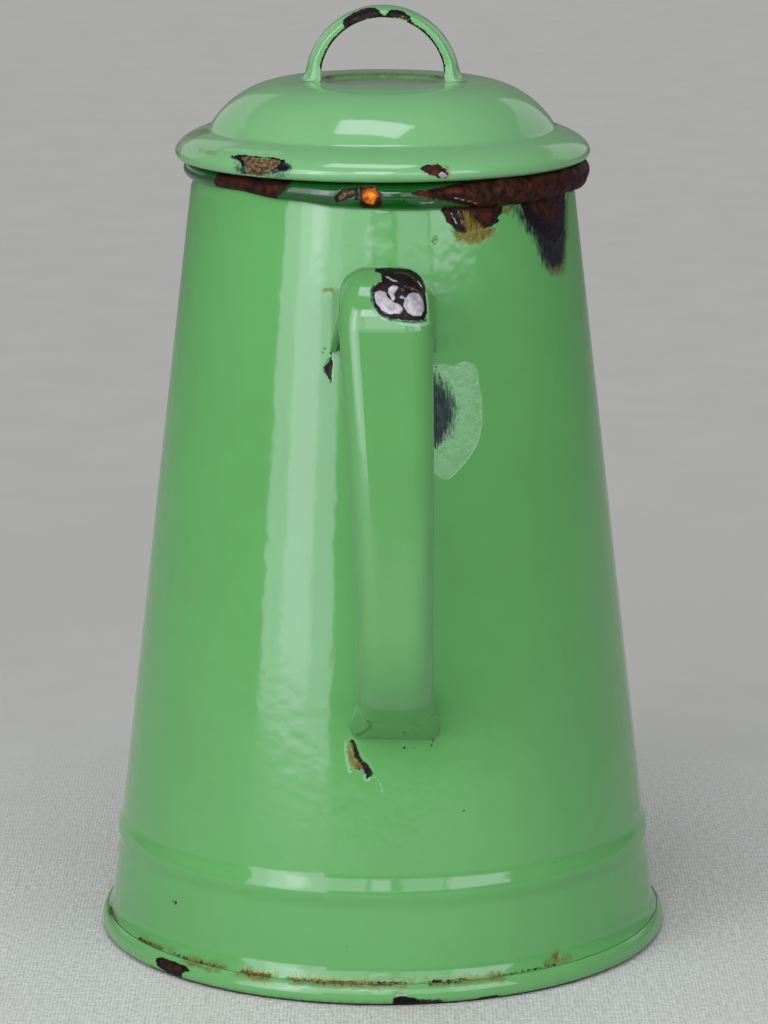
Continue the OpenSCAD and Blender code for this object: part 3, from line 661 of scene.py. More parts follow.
bmesh.ops.recalc_face_normals(borer, faces=borer.faces)
cutter_mesh = bpy.data.meshes.new("borer")
borer.to_mesh(cutter_mesh)
borer.free()
cutters = bpy.data.objects.new("borer", cutter_mesh)
bpy.context.collection.objects.link(cutters)
bore = body_wall.modifiers.new("bore", "BOOLEAN")
bore.object, bore.solver = cutters, "EXACT"
bpy.context.view_layer.update()
bored = bpy.data.meshes.new_from_object(body_wall.evaluated_get(bpy.context.evaluated_depsgraph_get()))
body_wall.modifiers.clear()
body_wall.data = bored
bpy.data.objects.remove(cutters)
print("wall with holes:", len(bored.vertices), "points,", len(bored.polygons), "faces")

# %% [markdown]
# ## The base pan
# A shallow pan closes the pot from below. Its edge turns up over the foot of the cone in a folded seam, and its
# rounded bead is what the pot stands on.

# %% Base pan
BASE_LIFT, FOOT_FLARE, SEAM_GAP, FOOT_LAND, FOOT_FOLD, FLOOR_R = 4.0, 2.0, 0.05, 2.0, 1.6, 62.0
STAND_IN, BULGE_IN, FLOOR_EDGE_R = 0.3, 0.2, 1.0
foot_r = FOOT_R + FOOT_FLARE
lip_r = FOOT_R - TAPER * SEAM_H + SEAM_GAP + SHEET
land_out = lip_r - STAND_IN
land_in = land_out - FOOT_LAND
bulge = curve([(lip_r, SEAM_H), (2 * foot_r - lip_r - BULGE_IN, SEAM_H / 2), (foot_r - BULGE_IN, 0), (land_out, 0)],
              np.linspace(0, 1, 26))
pan_under = np.vstack([
    bulge,
    arc((land_in, FOOT_FOLD), FOOT_FOLD, 270, 180, 8),
    arc((land_in - FOOT_FOLD - FLOOR_EDGE_R, BASE_LIFT - FLOOR_EDGE_R), FLOOR_EDGE_R, 0, 90, 6),
    np.column_stack([np.linspace(FLOOR_R, 0, 12), np.full(12, BASE_LIFT)])])
pan_upper = left_side(pan_under, -SHEET)
pan_upper[:, 0] = np.maximum(pan_upper[:, 0], 0)
pan_profile = np.vstack([pan_under[::-1], pan_upper])
pan_degrees = spaced((-180, 1.5), (-90, 0.45), (90, 1.5), (180, 1))[:-1]
pan_grid = turned(pan_profile, pan_degrees)
pan_v = np.concatenate([travel(pan_under)[::-1], np.full(len(pan_upper), OFF_CHART)])
pan_chart = np.stack(np.broadcast_arrays(np.radians(pan_degrees) * foot_r, pan_v[:, None]), -1)
print("pan grid:", len(pan_profile), "rows by", len(pan_degrees), "columns")

# %% [markdown]
# ## Wear along the seam
# The pan's chart runs round the foot from the handle's side, and from the seam's edge down over the bead. The fold
# holds water, so rust follows it, and two chips sit on the bead where the pot was put down hard.

# %% Base pan mesh
PAN_MARKS = {
    "stain": [[0.5, -127, 0.3, -97, 0.3], [0.4, -58, 0.5, -45, 0.6], [0.7, -40, 0.6, -29, 0.7],
        [0.5, -24, 0.4, 6, 0.5], [0.4, 12, 0.4, 32, 0.4], [0.9, 118, 0.8, 128, 0.4], [0.5, -70, 5.4, 30, 5.6]],
    "iron": [[0.5, -238, 5.8, 238, 5.8],
        [0, -67.6, 2.3, -65.3, 1.4, -61.1, 1.4, -55.7, 1.5, -53.7, 2.6, -56.2, 3.3, -57.1, 5.2, -62.1, 5.2,
         -66.5, 4.1], [0, 2.6, 3.4, 5, 3, 8.2, 3.6, 9.4, 4.6, 15.5, 5, 15.5, 6.4, 2.6, 6.4],
        [0.6, 25.5, 5.4, 29.5, 5.3]],
    "rust": [[0, -65.4, 2.2, -61.1, 2, -57, 2.4, -57.6, 4.4, -62.1, 4.6, -65.6, 3.6], [0.3, 9, 4.4, 14.6, 4.7],
        [0.2, -36.5, 0.2, -30, 0.2], [0.16, -23, 0.2, 4.5, 0.2], [0.16, 12, 0.2, 20, 0.2],
        [0.2, -108, 0.2, -102, 0.2]],
    "ochre": [[0.6, 128.5, 0.1, 124, 0.5], [0.3, 121, 1], [0.3, -35, 0.7, -31, 0.7], [0.25, -56, 0.6, -48, 0.8],
        [0.25, 28, 0.3, 31.5, 0.3]],
    "scar": [[0.2, 3.4, 2.6, 6, 2.7]],
}
pan_grid = bitten(pan_grid, pan_chart, PAN_MARKS, {"iron": 0.25, "rust": 0.25})
skin("enamelled_base", pan_grid, "pot", "base_pan", [base_green], chart=pan_chart, marks=PAN_MARKS)

# %% [markdown]
# ## The spout
# A gooseneck can't be drawn from one piece of sheet, so it is pressed as two halves that are welded along their
# edges. Each half is a loft: a row of half rings between a back curve and a front curve.

# %% Spout halves
SPOUT_TOP, SPOUT_LOW, SPOUT_W = 104.0, 42.0, 45.0
LIP_Z, LIP_Y, MOUTH_D, MOUTH_W, MOUTH_SLANT = 208.0, 122.0, 14.5, 15.0, 3.0
ROOT_SHARE, SPOUT_TAPER, WELD_GAP = 0.3, 1.6, 0.05
SPOUT_ROWS, SPOUT_POINTS = 90, 40
# Each curve's two inner points, as steps from its root and from the mouth.
back_curve = [(wall_r(SPOUT_TOP), SPOUT_TOP), (wall_r(SPOUT_TOP) + 17, SPOUT_TOP + 12),
              (LIP_Y - MOUTH_D - 21, LIP_Z - 48), (LIP_Y - MOUTH_D, LIP_Z - MOUTH_SLANT)]
front_curve = [(wall_r(SPOUT_LOW), SPOUT_LOW), (wall_r(SPOUT_LOW) + 41, SPOUT_LOW + 18),
               (LIP_Y - 26, LIP_Z - 66), (LIP_Y, LIP_Z)]


def spout_rings(side, inset):
    """Half rings of one spout half, from the root to the mouth."""
    share = np.linspace(0, 1, SPOUT_ROWS)
    turn = np.linspace(0, math.pi, SPOUT_POINTS)[None, :]
    back, front = curve(back_curve, share), curve(front_curve, share)
    mid, half = (back + front) / 2, (back - front) / 2
    reach = 1 - inset / np.linalg.norm(half, axis=1)[:, None]
    side_y = mid[:, :1] + half[:, :1] * np.cos(turn) * reach
    z = mid[:, 1:] + half[:, 1:] * np.cos(turn) * reach
    width = MOUTH_W + (SPOUT_W - MOUTH_W) * (1 - share[:, None]) ** SPOUT_TAPER
    x = (width / 2 - inset) * np.sin(turn)
    on_wall = np.sqrt((wall_r(z) + WELD_GAP) ** 2 - x * x)
    hug = np.maximum(0, 1 - share[:, None] / ROOT_SHARE) ** 2
    return np.stack([side * x, side_y + (on_wall - side_y) * hug, z], -1)


for side, label in ((-1, "left"), (1, "right")):
    outer, inner = spout_rings(side, 0), spout_rings(side, SHEET)
    skin(f"spout_{label}_shell", np.concatenate([outer, inner[:, ::-1]], 1), "pot", f"spout_{label}_half",
         [body_green])

# %% [markdown]
# ## The handle
# The handle is a strap with its sides turned in, bent to a D. Its section stays square to the strap all along, and
# at both roots the sides deepen and spread until they meet the cone.

# %% Handle strap
HANDLE_TOP_Z, HANDLE_LOW_Z, HANDLE_RISE, HANDLE_REACH, HANDLE_DROP = 181.0, 67.0, 12.0, 34.5, 16.0
TOP_BEND, LOW_BEND, GRIP_LEAN, GRIP_BOW, STRAP_T, EDGE_ROUND = 15.0, 28.0, 6.0, 1.5, 1.8, 0.6
HANDLE_X, HANDLE_DRIFT, BOW_SHARE = 0.5, 2.7, 0.96
ROOT_STEPS, TOP_STEPS, GRIP_STEPS, LOW_STEPS = 24, 56, 60, 40
# Sections: width, depth, width over the turned-in edges, shoulder width, shoulder depth.
ROOT_TOP, CREST, GRIP_TOP, GRIP_LOW, ROOT_LOW = np.array([
    [26.5, 17.0, 26.5, 6.5, 5.0], [20.5, 10.0, 20.5, 6.5, 5.0], [22.5, 8.0, 22.5, 6.5, 5.0],
    [18.5, 8.0, 18.5, 6.5, 5.0], [22.8, 11.0, 18.5, 3.0, 3.0]])


def unit(v):
    """A vector of length one."""
    return np.array(v, float) / np.linalg.norm(v)


def rounded(a, b, c, radius, steps):
    """Arc that rounds the corner b of a path from a to c."""
    to_a, to_c = unit(a - b), unit(c - b)
    half = math.acos(to_a @ to_c) / 2
    mid = b + unit(to_a + to_c) * radius / math.sin(half)
    start, end = b + to_a * radius / math.tan(half) - mid, b + to_c * radius / math.tan(half) - mid
    a0, a1 = (math.degrees(math.atan2(v[1], v[0])) for v in (start, end))
    return arc(mid, radius, a0, a0 + (a1 - a0 + 540) % 360 - 180, steps)


def bend_way(first, last, share):
    """Direction of the strap part way round a bend."""
    a0 = math.atan2(first[1], first[0])
    swing = (math.degrees(math.atan2(last[1], last[0]) - a0) + 540) % 360 - 180
    turn = a0 + math.radians(swing) * share
    return np.array([math.cos(turn), math.sin(turn)])


def strap_section(form):
    """Closed outline of the strap as (sideways, depth below the outer face)."""
    width, depth, edge_w, shoulder_w, shoulder_d = form

    def half(inset):
        flat = width / 2 - shoulder_w
        side = [(edge_w / 2 - inset + (width - edge_w) / 2 * s, depth + (shoulder_d - depth) * s)
                for s in np.linspace(0, 1, 8, endpoint=False)]
        bend = [(flat + (shoulder_w - inset) * math.cos(a), shoulder_d - (shoulder_d - inset) * math.sin(a))
                for a in np.linspace(0, math.pi / 2, 16)]
        face = [(flat * s, inset) for s in np.linspace(1, 0, 13)[1:-1]]
        whole = side + bend + face
        return [(-x, d) for x, d in whole] + [(0, inset)] + whole[::-1]

    outer, inner = half(0), half(STRAP_T)
    bead = [(edge_w / 2 - STRAP_T / 2 + STRAP_T / 2 * math.cos(a), depth + STRAP_T / 2 * EDGE_ROUND * math.sin(a))
            for a in np.linspace(0, math.pi, 7)[1:-1]]
    return np.array(outer + bead + inner[::-1] + [(-x, d) for x, d in bead[::-1]])


print("strap section:", len(strap_section(CREST)), "points")

# %% [markdown]
# ## Rings along the strap
# The bow is a path with two bends and a slightly curved grip, and each ring is the section set square to it. At the
# roots the ring's points run on along the strap until they meet the cone, as the real strap was trimmed to fit.

# %% Handle rings
def handle_side(z):
    """Sideways place of the handle's middle at a height. It bows most below the upper root."""
    rest = (z - HANDLE_LOW_Z) / (HANDLE_TOP_Z - HANDLE_LOW_Z)
    return HANDLE_X + HANDLE_DRIFT * (1 - rest * rest)


def strap_ring(at, way, form):
    """The section set square to the strap at a point of its outer face."""
    p = strap_section(form)
    return np.column_stack([handle_side(at[1]) + p[:, 0], -(at[0] + way[1] * p[:, 1]), at[1] - way[0] * p[:, 1]])


def root_ring(at, out, run, form, share):
    """The section carried from a bend's end towards the wall, all the way where the share is one."""
    p = strap_ring(at, run, form)
    way = np.array([0, -out[0], out[1]])
    gap_r = wall_r(p[:, 2]) + WELD_GAP
    qa = way[0] ** 2 + way[1] ** 2 - (TAPER * way[2]) ** 2
    qb = p[:, 0] * way[0] + p[:, 1] * way[1] + gap_r * TAPER * way[2]
    qc = p[:, 0] ** 2 + p[:, 1] ** 2 - gap_r ** 2
    return p + way * (((np.sqrt(qb ** 2 - qa * qc) - qb) / qa) * share)[:, None]


corner_a = np.array([wall_r(HANDLE_TOP_Z), HANDLE_TOP_Z])
corner_b = np.array([wall_r(HANDLE_TOP_Z + HANDLE_RISE) + HANDLE_REACH + GRIP_LEAN, HANDLE_TOP_Z + HANDLE_RISE])
corner_c = np.array([wall_r(HANDLE_LOW_Z + HANDLE_DROP) + HANDLE_REACH, HANDLE_LOW_Z + HANDLE_DROP])
corner_d = np.array([wall_r(HANDLE_LOW_Z), HANDLE_LOW_Z])
grip_mid = (corner_b + corner_c) / 2 + unit([corner_b[1] - corner_c[1], corner_c[0] - corner_b[0]]) * GRIP_BOW
top_bend = rounded(corner_a, corner_b, grip_mid, TOP_BEND, TOP_STEPS)
low_bend = rounded(grip_mid, corner_c, corner_d, LOW_BEND, LOW_STEPS)
top_out, low_in = unit(corner_b - corner_a), unit(corner_d - corner_c)
grip_top_way, grip_low_way = unit(grip_mid - corner_b), unit(corner_c - grip_mid)
bow_reach = BOW_SHARE * min(np.linalg.norm(grip_mid - top_bend[-1]), np.linalg.norm(grip_mid - low_bend[0]))
bow_r = bow_reach / math.tan(math.acos(grip_top_way @ grip_low_way) / 2)
grip_arc = rounded(corner_b, grip_mid, corner_c, bow_r, GRIP_STEPS)

rings = []
for f in np.linspace(1, 0, ROOT_STEPS, endpoint=False):
    rings.append(root_ring(top_bend[0], top_out, top_out, between(CREST, ROOT_TOP, ease(f)), f))
for f, point in zip(np.linspace(0, 1, TOP_STEPS + 1), top_bend):
    rings.append(strap_ring(point, bend_way(top_out, grip_top_way, f), between(CREST, GRIP_TOP, ease(f))))
for f, point in zip(np.linspace(0, 1, GRIP_STEPS + 1), grip_arc):
    rings.append(strap_ring(point, bend_way(grip_top_way, grip_low_way, f), between(GRIP_TOP, GRIP_LOW, f)))
for f, point in zip(np.linspace(0, 1, LOW_STEPS + 1), low_bend):
    rings.append(strap_ring(point, bend_way(grip_low_way, low_in, f), GRIP_LOW))
for f in np.linspace(0, 1, ROOT_STEPS + 1)[1:]:
    rings.append(root_ring(low_bend[-1], -low_in, low_in, between(GRIP_LOW, ROOT_LOW, ease(f)), f))
handle_grid = np.array(rings)
middle = np.argmin(abs(strap_section(CREST)).sum(1))
around = np.array([travel(ring) - travel(ring)[middle] for ring in handle_grid])
along = travel(handle_grid[:, middle])
handle_chart = np.stack(np.broadcast_arrays(around, along[:, None]), -1)
print("handle grid:", len(handle_grid), "rings of", handle_grid.shape[1], "points")

# %% [markdown]
# ## The chip on the handle's bend
# The bend is the part that is knocked first. The chip's chart is the strap laid flat: sideways from its middle, and
# along it from the upper root. The scars inside the chip are what is left of the grey undercoat.

# %% Handle mesh
HANDLE_MARKS = {
    "pale": [[0, -2.6, 37.6, -3.2, 40.7, -2.6, 43.8, -0.8, 45.7, 3.6, 47, 8.2, 47.5, 11.6, 46.6, 11.6, 36.1]],
    "navy": [
        [0.35, -2.3, 36.5, -2.8, 38.1, -2.8, 40.8, -2, 42.9, -0.8, 44.6, 1.1, 45.6, 4.2, 46.2, 7.9, 46.3,
         10.2, 45.5]],
    "iron": [
        [0, -1.8, 27.9, 1.3, 27.2, 4.9, 27.4, 7.8, 27.7, 9.8, 28.9, 10.9, 32.8, 11, 39.6, 10.9, 43.3, 9.9, 45.3,
         8, 46, 4.3, 45.8, 1.1, 45.4, -0.8, 44.4, -2.2, 42.7, -2.7, 40.4, -2.6, 38.1, -1.9, 36.3, -0.3, 34.7,
         -0.4, 31.6, -2, 30.5]],
    "tan": [[0.25, 5.2, 36.5, 7.6, 36.7, 9.9, 38.3], [0.15, -1, 43.4, 1, 44.5]],
    "rust": [[0.3, 2.3, 41.3], [0.3, 7.1, 36.6, 8.1, 33.8]],
    "ochre": [[0.22, 3.4, 30.9, 5.2, 30.7, 7.3, 31.8, 8.1, 33.8], [0.28, 4.4, 37.8], [0.16, 6.6, 36.9, 7.6, 38]],
    "scar": [
        [0, -2.2, 38.5, -1, 37.8, 0.2, 38.3, 0.9, 39.9, 2.1, 41.3, 3.7, 41.9, 4.4, 42.9, 3.8, 44.2, 1.2, 44.4,
         -0.8, 43.3, -1.9, 41.7, -2.3, 40.2],
        [0, 5.8, 39.1, 7.1, 38.1, 8.8, 38.1, 10, 39.5, 10.1, 42.5, 9, 44.5, 6.8, 44.8, 5.2, 43.7, 4.3, 42.1,
         5.1, 40.4], [0, 1.1, 37.1, 2.3, 36.1, 3.6, 36.6, 3, 37.8, 2.4, 39, 2.7, 40.4, 2.1, 40.8, 1.4, 39.7, 1, 38.5],
        [0.42, 4.2, 39.9], [0.3, 0.8, 32.8, 2.3, 34.4, 3.1, 34.7], [0.4, 8.9, 33.1, 9.7, 34.4]],
}
handle_grid = bitten(handle_grid, handle_chart, HANDLE_MARKS, {"iron": 0.25}, side=-1)
skin("handle_bow", handle_grid, "pot", "handle_strap", [handle_green], chart=handle_chart,
     marks=HANDLE_MARKS)

# %% [markdown]
# ## The lid
# The lid is one pressing: a shallow dish in a flat crown, a domed shoulder, a sloping brim with a rounded edge and
# a narrow lip turned in under it. The lip holds the flange of the collar that keeps the lid on the pot.

# %% Lid pressing
LID_LOW_Z, BRIM_R, BRIM_EDGE_R = 205.3, 53.6, 2.1
BRIM_EDGE_Z = LID_LOW_Z + BRIM_EDGE_R
DOME_FOOT = np.array([BRIM_R - 9.0, LID_LOW_Z + 8.2])
DOME_H, CROWN_R = 11.8, 23.7
CROWN_Z = DOME_FOOT[1] + DOME_H
DISH_R, DISH_D, DISH_EDGE, LIP_W = 17.3, 1.0, 3.2, 2.6
BRIM_FROM, BRIM_IN, BRIM_SAG, OUTSIDE_LID = np.array([0.5, -0.35]), 0.7, 2.7, 300.0
run = DOME_FOOT[0] - CROWN_R
shoulder_r = (run * run + DOME_H * DOME_H) / (2 * DOME_H)
dish_share = np.linspace(0, 1, 14)
lid_upper = np.vstack([
    np.column_stack([np.linspace(0, DISH_R - DISH_EDGE, 8), np.full(8, CROWN_Z - DISH_D)])[:-1],
    np.column_stack([DISH_R - DISH_EDGE * (1 - dish_share), CROWN_Z - DISH_D + DISH_D * ease(dish_share)]),
    np.column_stack([np.linspace(DISH_R, CROWN_R, 8)[1:-1], np.full(6, CROWN_Z)]),
    arc((CROWN_R, CROWN_Z - shoulder_r), shoulder_r, 90, 90 - math.degrees(math.asin(run / shoulder_r)), 44),
    curve([DOME_FOOT + BRIM_FROM, (BRIM_R - BRIM_IN, DOME_FOOT[1] - BRIM_SAG), (BRIM_R, BRIM_EDGE_Z)],
          np.linspace(0, 1, 24)[:-1]),
    arc((BRIM_R - BRIM_EDGE_R, BRIM_EDGE_Z), BRIM_EDGE_R, 0, -90, 12),
    [[BRIM_R - BRIM_EDGE_R - LIP_W, LID_LOW_Z]]])
lid_under = left_side(lid_upper, -SHEET)
lid_under[:, 0] = np.maximum(lid_under[:, 0], 0)
lid_profile = np.vstack([lid_upper, lid_under[::-1]])
lid_degrees = spaced((-180, 1.6), (-100, 0.8), (100, 1.6), (180, 1))[:-1]
lid_grid = turned(lid_profile, lid_degrees)
lid_v = np.concatenate([travel(lid_upper), np.full(len(lid_under), OUTSIDE_LID)])
lid_chart = turned(np.column_stack([lid_v, lid_v]), lid_degrees)[..., :2]
lid_parts = np.where(np.arange(len(lid_profile)) < len(lid_upper), 0, 1)
print("lid grid:", len(lid_profile), "rows by", len(lid_degrees), "columns")

# %% [markdown]
# ## Where the lid is damaged
# The lid's chart is its upper face rolled out flat, with the axis in the middle and the handle's side below. Most
# chips are on the brim, and a brown line with ochre ends is drawn along the far edge of the dish.

# %% Lid mesh
LID_MARKS = {
    "pale": [[0.8, -43.5, -34, -36, -41.5, -28, -46.6]],
    "stain": [
        [0, -47.8, -6.2, -50.7, -1.8, -55, -0.2, -57.6, -3.9, -58.5, -11.6, -57.7, -15.5, -56.3, -13.8, -53.5, -12.7,
         -50.6, -12.8, -47.9, -12.8],
        # A brown line drawn along the far edge of the dish; the two ochre lines in the dish are its ends.
        [0.9, -15.6, 5, -14.5, 8, -12, 11.2, -8, 14.3, 0, 16.3, 8, 14.3, 12, 11.2, 14.8, 7.6, 16, 4],
        [0.5, -51, -26, -46.5, -34.2]],
    "smoke": [[0, -41.5, -43.6, -39, -45.5, -38, -47.6, -40.1, -47],
        [0, -32.5, -50.8, -28.3, -51.6, -25.6, -53.1, -27.8, -53.9, -32.4, -52]],
    "navy": [[0.35, -41.6, -39.4, -38.9, -43.4, -38.8, -46.2], [0.4, -27.6, -50.6, -25.4, -52.9],
        [0.3, -31, -51.9, -26.6, -53.4]],
    "iron": [
        [0, -41.5, -39.5, -39.7, -40, -37.4, -42, -37.4, -43.8, -37.2, -45.8, -38.9, -45.4, -39.4, -43.2,
         -40.4, -41.3],
        [0, -32.9, -45.7, -29.6, -47.7, -26.1, -50.6, -27.5, -51, -25.7, -52.8, -25.8, -53.5, -28.1, -52.9,
         -29.4, -51.7, -31.4, -51.7, -33, -51.6, -31.8, -50.7, -29.5, -50.3, -28.3, -49.7],
        [0.3, -37.5, -42.3, -33.1, -45.8], [0, 10.2, -57.7, 11.7, -56.3, 13.4, -55.7, 13.2, -57.6, 12.2, -58.7],
        [0.25, -53.7, -1.7, -55.4, -2.4, -57.2, -3, -58.2, -5.3, -59, -9.3, -59.3, -12.5],
        [0.2, -40.5, -46.1, -38.3, -48, -36.3, -49.9], [0.25, -18.3, 11, -17.5, 7.9],
        [0.22, 17.6, 11, 18.6, 6.5, 19.4, 1.5], [0.2, 2.9, -53], [0.16, -17, -47]],
    "tan": [
        [0, -39, -41.4, -36.3, -43.2, -33, -46.4, -30.2, -48, -27.6, -49.9, -28.5, -50.8, -29.7, -51.4, -31.9, -51.3,
         -33, -51.8, -35.7, -50.8, -37.8, -48.9, -38.4, -47.3, -38.3, -45.5, -38.2, -43.8]],
    "rust": [
        [0, 11, -57.7, 12.3, -56.5, 15.2, -55.3, 17.3, -56.1, 18.5, -57.4, 17.9, -58.7, 15.4, -59.2, 12.7, -58.8],
        [0.2, -54.4, -2.2, -56.4, -3, -57.8, -5]],
    "ochre": [[0.3, 16.9, -55.6, 18, -56.2, 18.7, -57.3, 18.2, -58.5], [0.15, -57.2, -5.2, -58.2, -8.4],
        [0.5, -14.8, 6.8, -13.4, 9.5], [0.5, 15.2, 6.2, 14, 8.9]],
    "scar": [[0, 15.6, -57.9, 16.6, -57.2, 17.8, -57.6, 18.1, -58.3, 16.7, -58.9, 15.6, -58.5]],
}
lid_grid = bitten(lid_grid, lid_chart, LID_MARKS, {"iron": 0.22, "tan": 0.22, "rust": 0.2}, side=-1)
skin("lid_pressing", lid_grid, "lid", "lid_dome", [lid_green, inner_white], chart=lid_chart,
     marks=LID_MARKS, parts=lid_parts)

# %% [markdown]
# ## The loop on the lid
# A short strap of steel, bent to a half ring and spread at its feet where it is welded to the crown. Its outer
# face is crowned, and its inner edge is where the enamel has worn through.

# %% Lid loop
LOOP_R, LOOP_T, LOOP_SWELL, LOOP_RISE = 16.0, 2.7, 1.3, 0.4
LOOP_W, LOOP_FOOT, LOOP_FOOT_W = 12.0, 1.4, 13.5
LOOP_EDGE, SIDE_ANGLE, HEEL_SHARE, INNER_WIDTH, TIP_T, TIP_IN = 0.45, 14, 0.45, 0.97, 0.35, 0.6
ARCH_STEPS, FOOT_STEPS, LOOP_POINTS, SPREAD_FROM = 44, 20, 22, 36


def loop_half():
    """Inner and outer point of each ring in front view, from the loop's top down to the foot's end."""
    out_r = LOOP_R + LOOP_T + LOOP_SWELL
    turn = np.radians(np.linspace(90, SIDE_ANGLE, ARCH_STEPS))
    way = np.column_stack([np.cos(turn), np.sin(turn)])
    inner, outer = LOOP_R * way + [0, LOOP_RISE], out_r * way + [0, LOOP_RISE - LOOP_SWELL]
    tip, heel = np.array([out_r + LOOP_FOOT, TIP_T]), np.array([LOOP_R, 0.0])
    f = np.linspace(0, 1, FOOT_STEPS)[1:]
    to_heel = between(inner[-1], heel, (f / HEEL_SHARE)[:, None])
    past_heel = between(heel, tip - [TIP_IN, tip[1]], ((f - HEEL_SHARE) / (1 - HEEL_SHARE))[:, None])
    foot_in = np.where((f < HEEL_SHARE)[:, None], to_heel, past_heel)
    foot_out = curve([outer[-1], (out_r + 0.1, 0.5), tip], f)
    return np.vstack([inner, foot_in]), np.vstack([outer, foot_out])


def loop_ring(inner, outer, side, width):
    """One ring round the loop's section: the crowned outer face, then the flat inner face."""
    turn = np.linspace(0, math.pi, LOOP_POINTS)
    top = between(inner, outer, between(LOOP_EDGE, 1, np.sin(turn))[:, None])
    across = width / 2 * np.cos(turn)
    over = np.column_stack([side * top[:, 0], across, CROWN_Z + top[:, 1]])
    flat = np.ones(LOOP_POINTS)
    under = np.column_stack([side * inner[0] * flat, across * INNER_WIDTH, (CROWN_Z + inner[1]) * flat])
    return np.vstack([over, under[::-1]])


loop_in, loop_out = loop_half()
count = len(loop_in)
widths = between(LOOP_W, LOOP_FOOT_W, ease((np.arange(count) - SPREAD_FROM) / (count - 1 - SPREAD_FROM)))
ring_order = [(i, -1) for i in range(count - 1, -1, -1)] + [(i, 1) for i in range(1, count)]
loop_grid = np.array([loop_ring(loop_in[i], loop_out[i], side, widths[i]) for i, side in ring_order])
LOOP_TOP = LOOP_POINTS // 2
around = np.array([travel(ring) - travel(ring)[LOOP_TOP] for ring in loop_grid])
along = travel(loop_grid[:, LOOP_TOP])
loop_chart = np.stack(np.broadcast_arrays((along - along[count - 1])[:, None], around), -1)
print("loop grid:", len(loop_grid), "rings of", loop_grid.shape[1], "points")

# %% [markdown]
# ## Where fingers have worn the loop
# The loop's chart runs along the strap from its top, and across it towards the handle's side. Nearly all the wear is
# on one edge, where the finger pulls and the strap is sharpest.

# %% Loop mesh
LOOP_MARKS = {
    "iron": [
        [0, -11.9, 5.9, -10.9, 4.2, -8.8, 3, -6.3, 2, -4.2, 1.2, -2.3, 2.4, -1.4, 4.6, -0.7, 5.7, -0.2, 6.5,
         -1.6, 6.8, -4, 7, -6.6, 7.3, -9.7, 7.6, -12.8, 7.9, -12.4, 6.8],
        [0, 1.4, 5.9, 2.3, 4.4, 4, 3.7, 5.7, 4, 7.3, 5.1, 8.4, 6.2, 8.8, 6.9, 7.1, 6.8, 5.4, 6.9, 3, 7, 1.3, 7],
        [0.5, -12.6, 7.4, -16.5, 7.6, -19.4, 7.8, -23.8, 8, -28.2, 8], [0.5, -15.2, 7.5, -18.2, 7.7],
        [0.5, 8.5, 7.2, 11.9, 7.3, 15.8, 7.5, 19.3, 7.8, 24, 8, 28, 8], [0.5, 13.2, 7.4, 16.6, 7.6],
        [0.4, -3.9, 7.2, 3, 7.2], [0.25, 17.6, -0.8, 19.1, 1.9]],
    "navy": [[0.3, -3.6, 5.4, -0.6, 6.2], [0.3, 2, 5.2, 5, 5.4]],
    "orange": [[0.35, 5.3, 6.4, 6.4, 6.3]],
    "ochre": [[0.2, -7.9, 6.2, -7.2, 6.5], [0.25, 6.9, 6.5]],
    "scar": [[0.2, -9.8, 6.8, -8.4, 6.6], [0.2, -6.6, 6.4, -5, 6.4]],
}
loop_grid = bitten(loop_grid, loop_chart, LOOP_MARKS, {"iron": 0.2})
skin("lid_ring", loop_grid, "lid", "lid_loop", [lid_green], chart=loop_chart, marks=LOOP_MARKS)

# %% [markdown]
# ## The collar
# The collar is a plain turned ring, and its CAD solid has the shape already, so it only gets its enamel.

# %% Collar
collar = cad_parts["lid_collar"]
collar.data.materials.clear()
collar.data.materials.append(inner_white)
print("collar keeps its CAD mesh:", len(collar.data.polygons), "faces")

# %% [markdown]
# ## The table
# The pot stands on pale grey linen. The cloth shows its threads near the pot. Further off they melt into an even
# grey, and there the camera sees a glow of that grey, so that the backdrop keeps its tone however far it reaches
# from the lamps. The world shows the camera the same grey, so a low view has no line where the cloth ends.

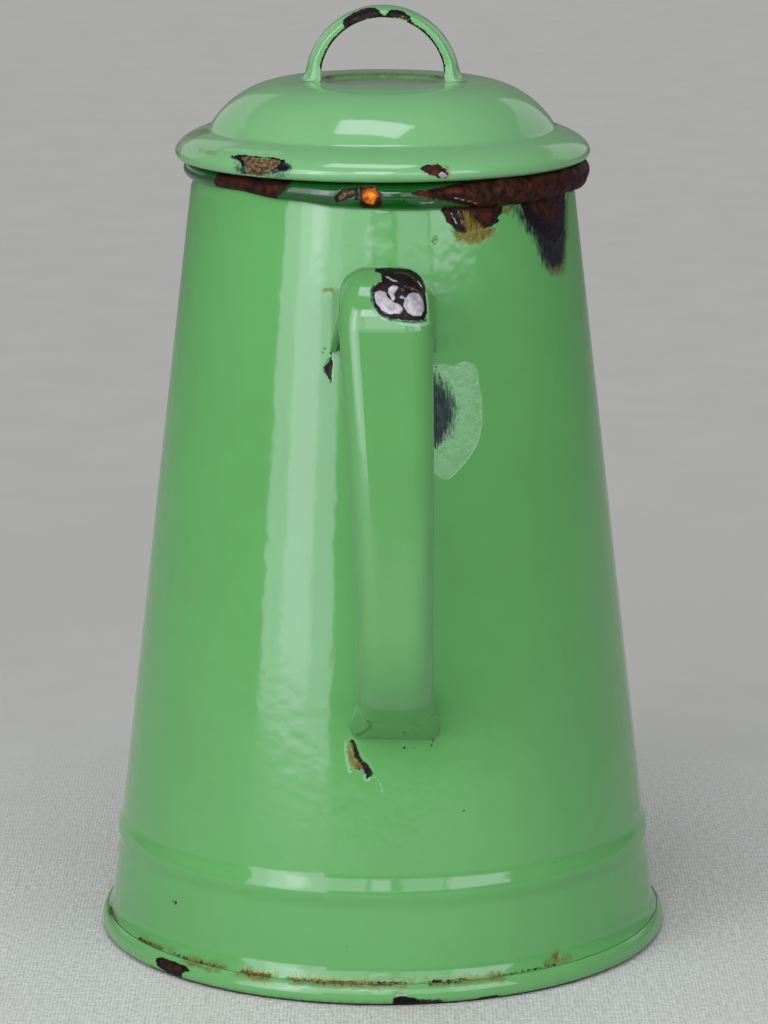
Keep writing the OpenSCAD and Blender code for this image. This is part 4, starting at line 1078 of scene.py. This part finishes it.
# %% Floor
FLOOR_REACH = 9.0
floor_mesh = bpy.data.meshes.new("linen")
floor_mesh.from_pydata([(x * FLOOR_REACH, y * FLOOR_REACH, 0) for x, y in ((-1, -1), (1, -1), (1, 1), (-1, 1))],
                       [], [(0, 1, 2, 3)])
floor = bpy.data.objects.new("linen", floor_mesh)
bpy.context.collection.objects.link(floor)
linen = bpy.data.materials.new("linen")
linen.use_nodes = True
tree = linen.node_tree
shader = tree.nodes["Principled BSDF"]
place = add(tree, "TexCoord").outputs["Object"]
away = add(tree, "VectorMath", {"operation": "LENGTH"}, _0=place).outputs["Value"]
near_pot = ramp(tree, away, 0.24, 0.09)
warp, weft = (add(tree, "TexWave", {"bands_direction": way}, Vector=place, Scale=fine, Distortion=3.0,
                  Detail=2.0).outputs["Fac"] for way, fine in (("X", 330.0), ("Y", 300.0)))
slub = add(tree, "TexNoise", Vector=place, Scale=620.0, Detail=3.0, Roughness=0.7).outputs["Fac"]
blotch = add(tree, "TexNoise", Vector=place, Scale=26.0, Detail=4.0, Roughness=0.6).outputs["Fac"]
thread = times(tree, calc(tree, "ADD", times(tree, warp, weft), ramp(tree, slub, 0.3, 0.7)), 0.5)
cloth = mix_colour(tree, thread, rgb(170, 171, 168), rgb(244, 246, 248))
cloth = mix_colour(tree, near_pot, rgb(206, 207, 205), cloth)
cloth = mix_colour(tree, ramp(tree, blotch, 0.35, 0.75, 0.0, 0.35), cloth, rgb(196, 195, 188))
cloth = mix_colour(tree, ramp(tree, slub, 0.76, 0.80, 0.0, near_pot), cloth, rgb(92, 88, 80))
tree.links.new(cloth, shader.inputs["Base Color"])
relief = add(tree, "Bump", Height=times(tree, thread, near_pot), Distance=0.5 * MM, Strength=0.6).outputs[0]
tree.links.new(relief, shader.inputs["Normal"])
shader.inputs["Roughness"].default_value = 0.9
far = times(tree, ramp(tree, away, 0.13, 0.6), add(tree, "LightPath").outputs["Is Camera Ray"])
grey = mix_colour(tree, ramp(tree, blotch, 0.3, 0.7), rgb(169, 169, 168), rgb(171, 171, 169))
glow = add(tree, "Emission", Color=grey, Strength=1.0).outputs[0]
tree.links.new(add(tree, "MixShader", _0=far, _1=shader.outputs[0], _2=glow).outputs[0],
               tree.nodes["Material Output"].inputs["Surface"])
floor_mesh.materials.append(linen)
sky = world.node_tree
sky_grey = add(sky, "Background", Color=rgb(170, 170, 168), Strength=1.0).outputs[0]
seen = add(sky, "MixShader", _0=add(sky, "LightPath").outputs["Is Camera Ray"], _1=fill.outputs[0], _2=sky_grey)
sky.links.new(seen.outputs[0], sky.nodes["World Output"].inputs["Surface"])
print("floor", 2 * FLOOR_REACH, "m wide")
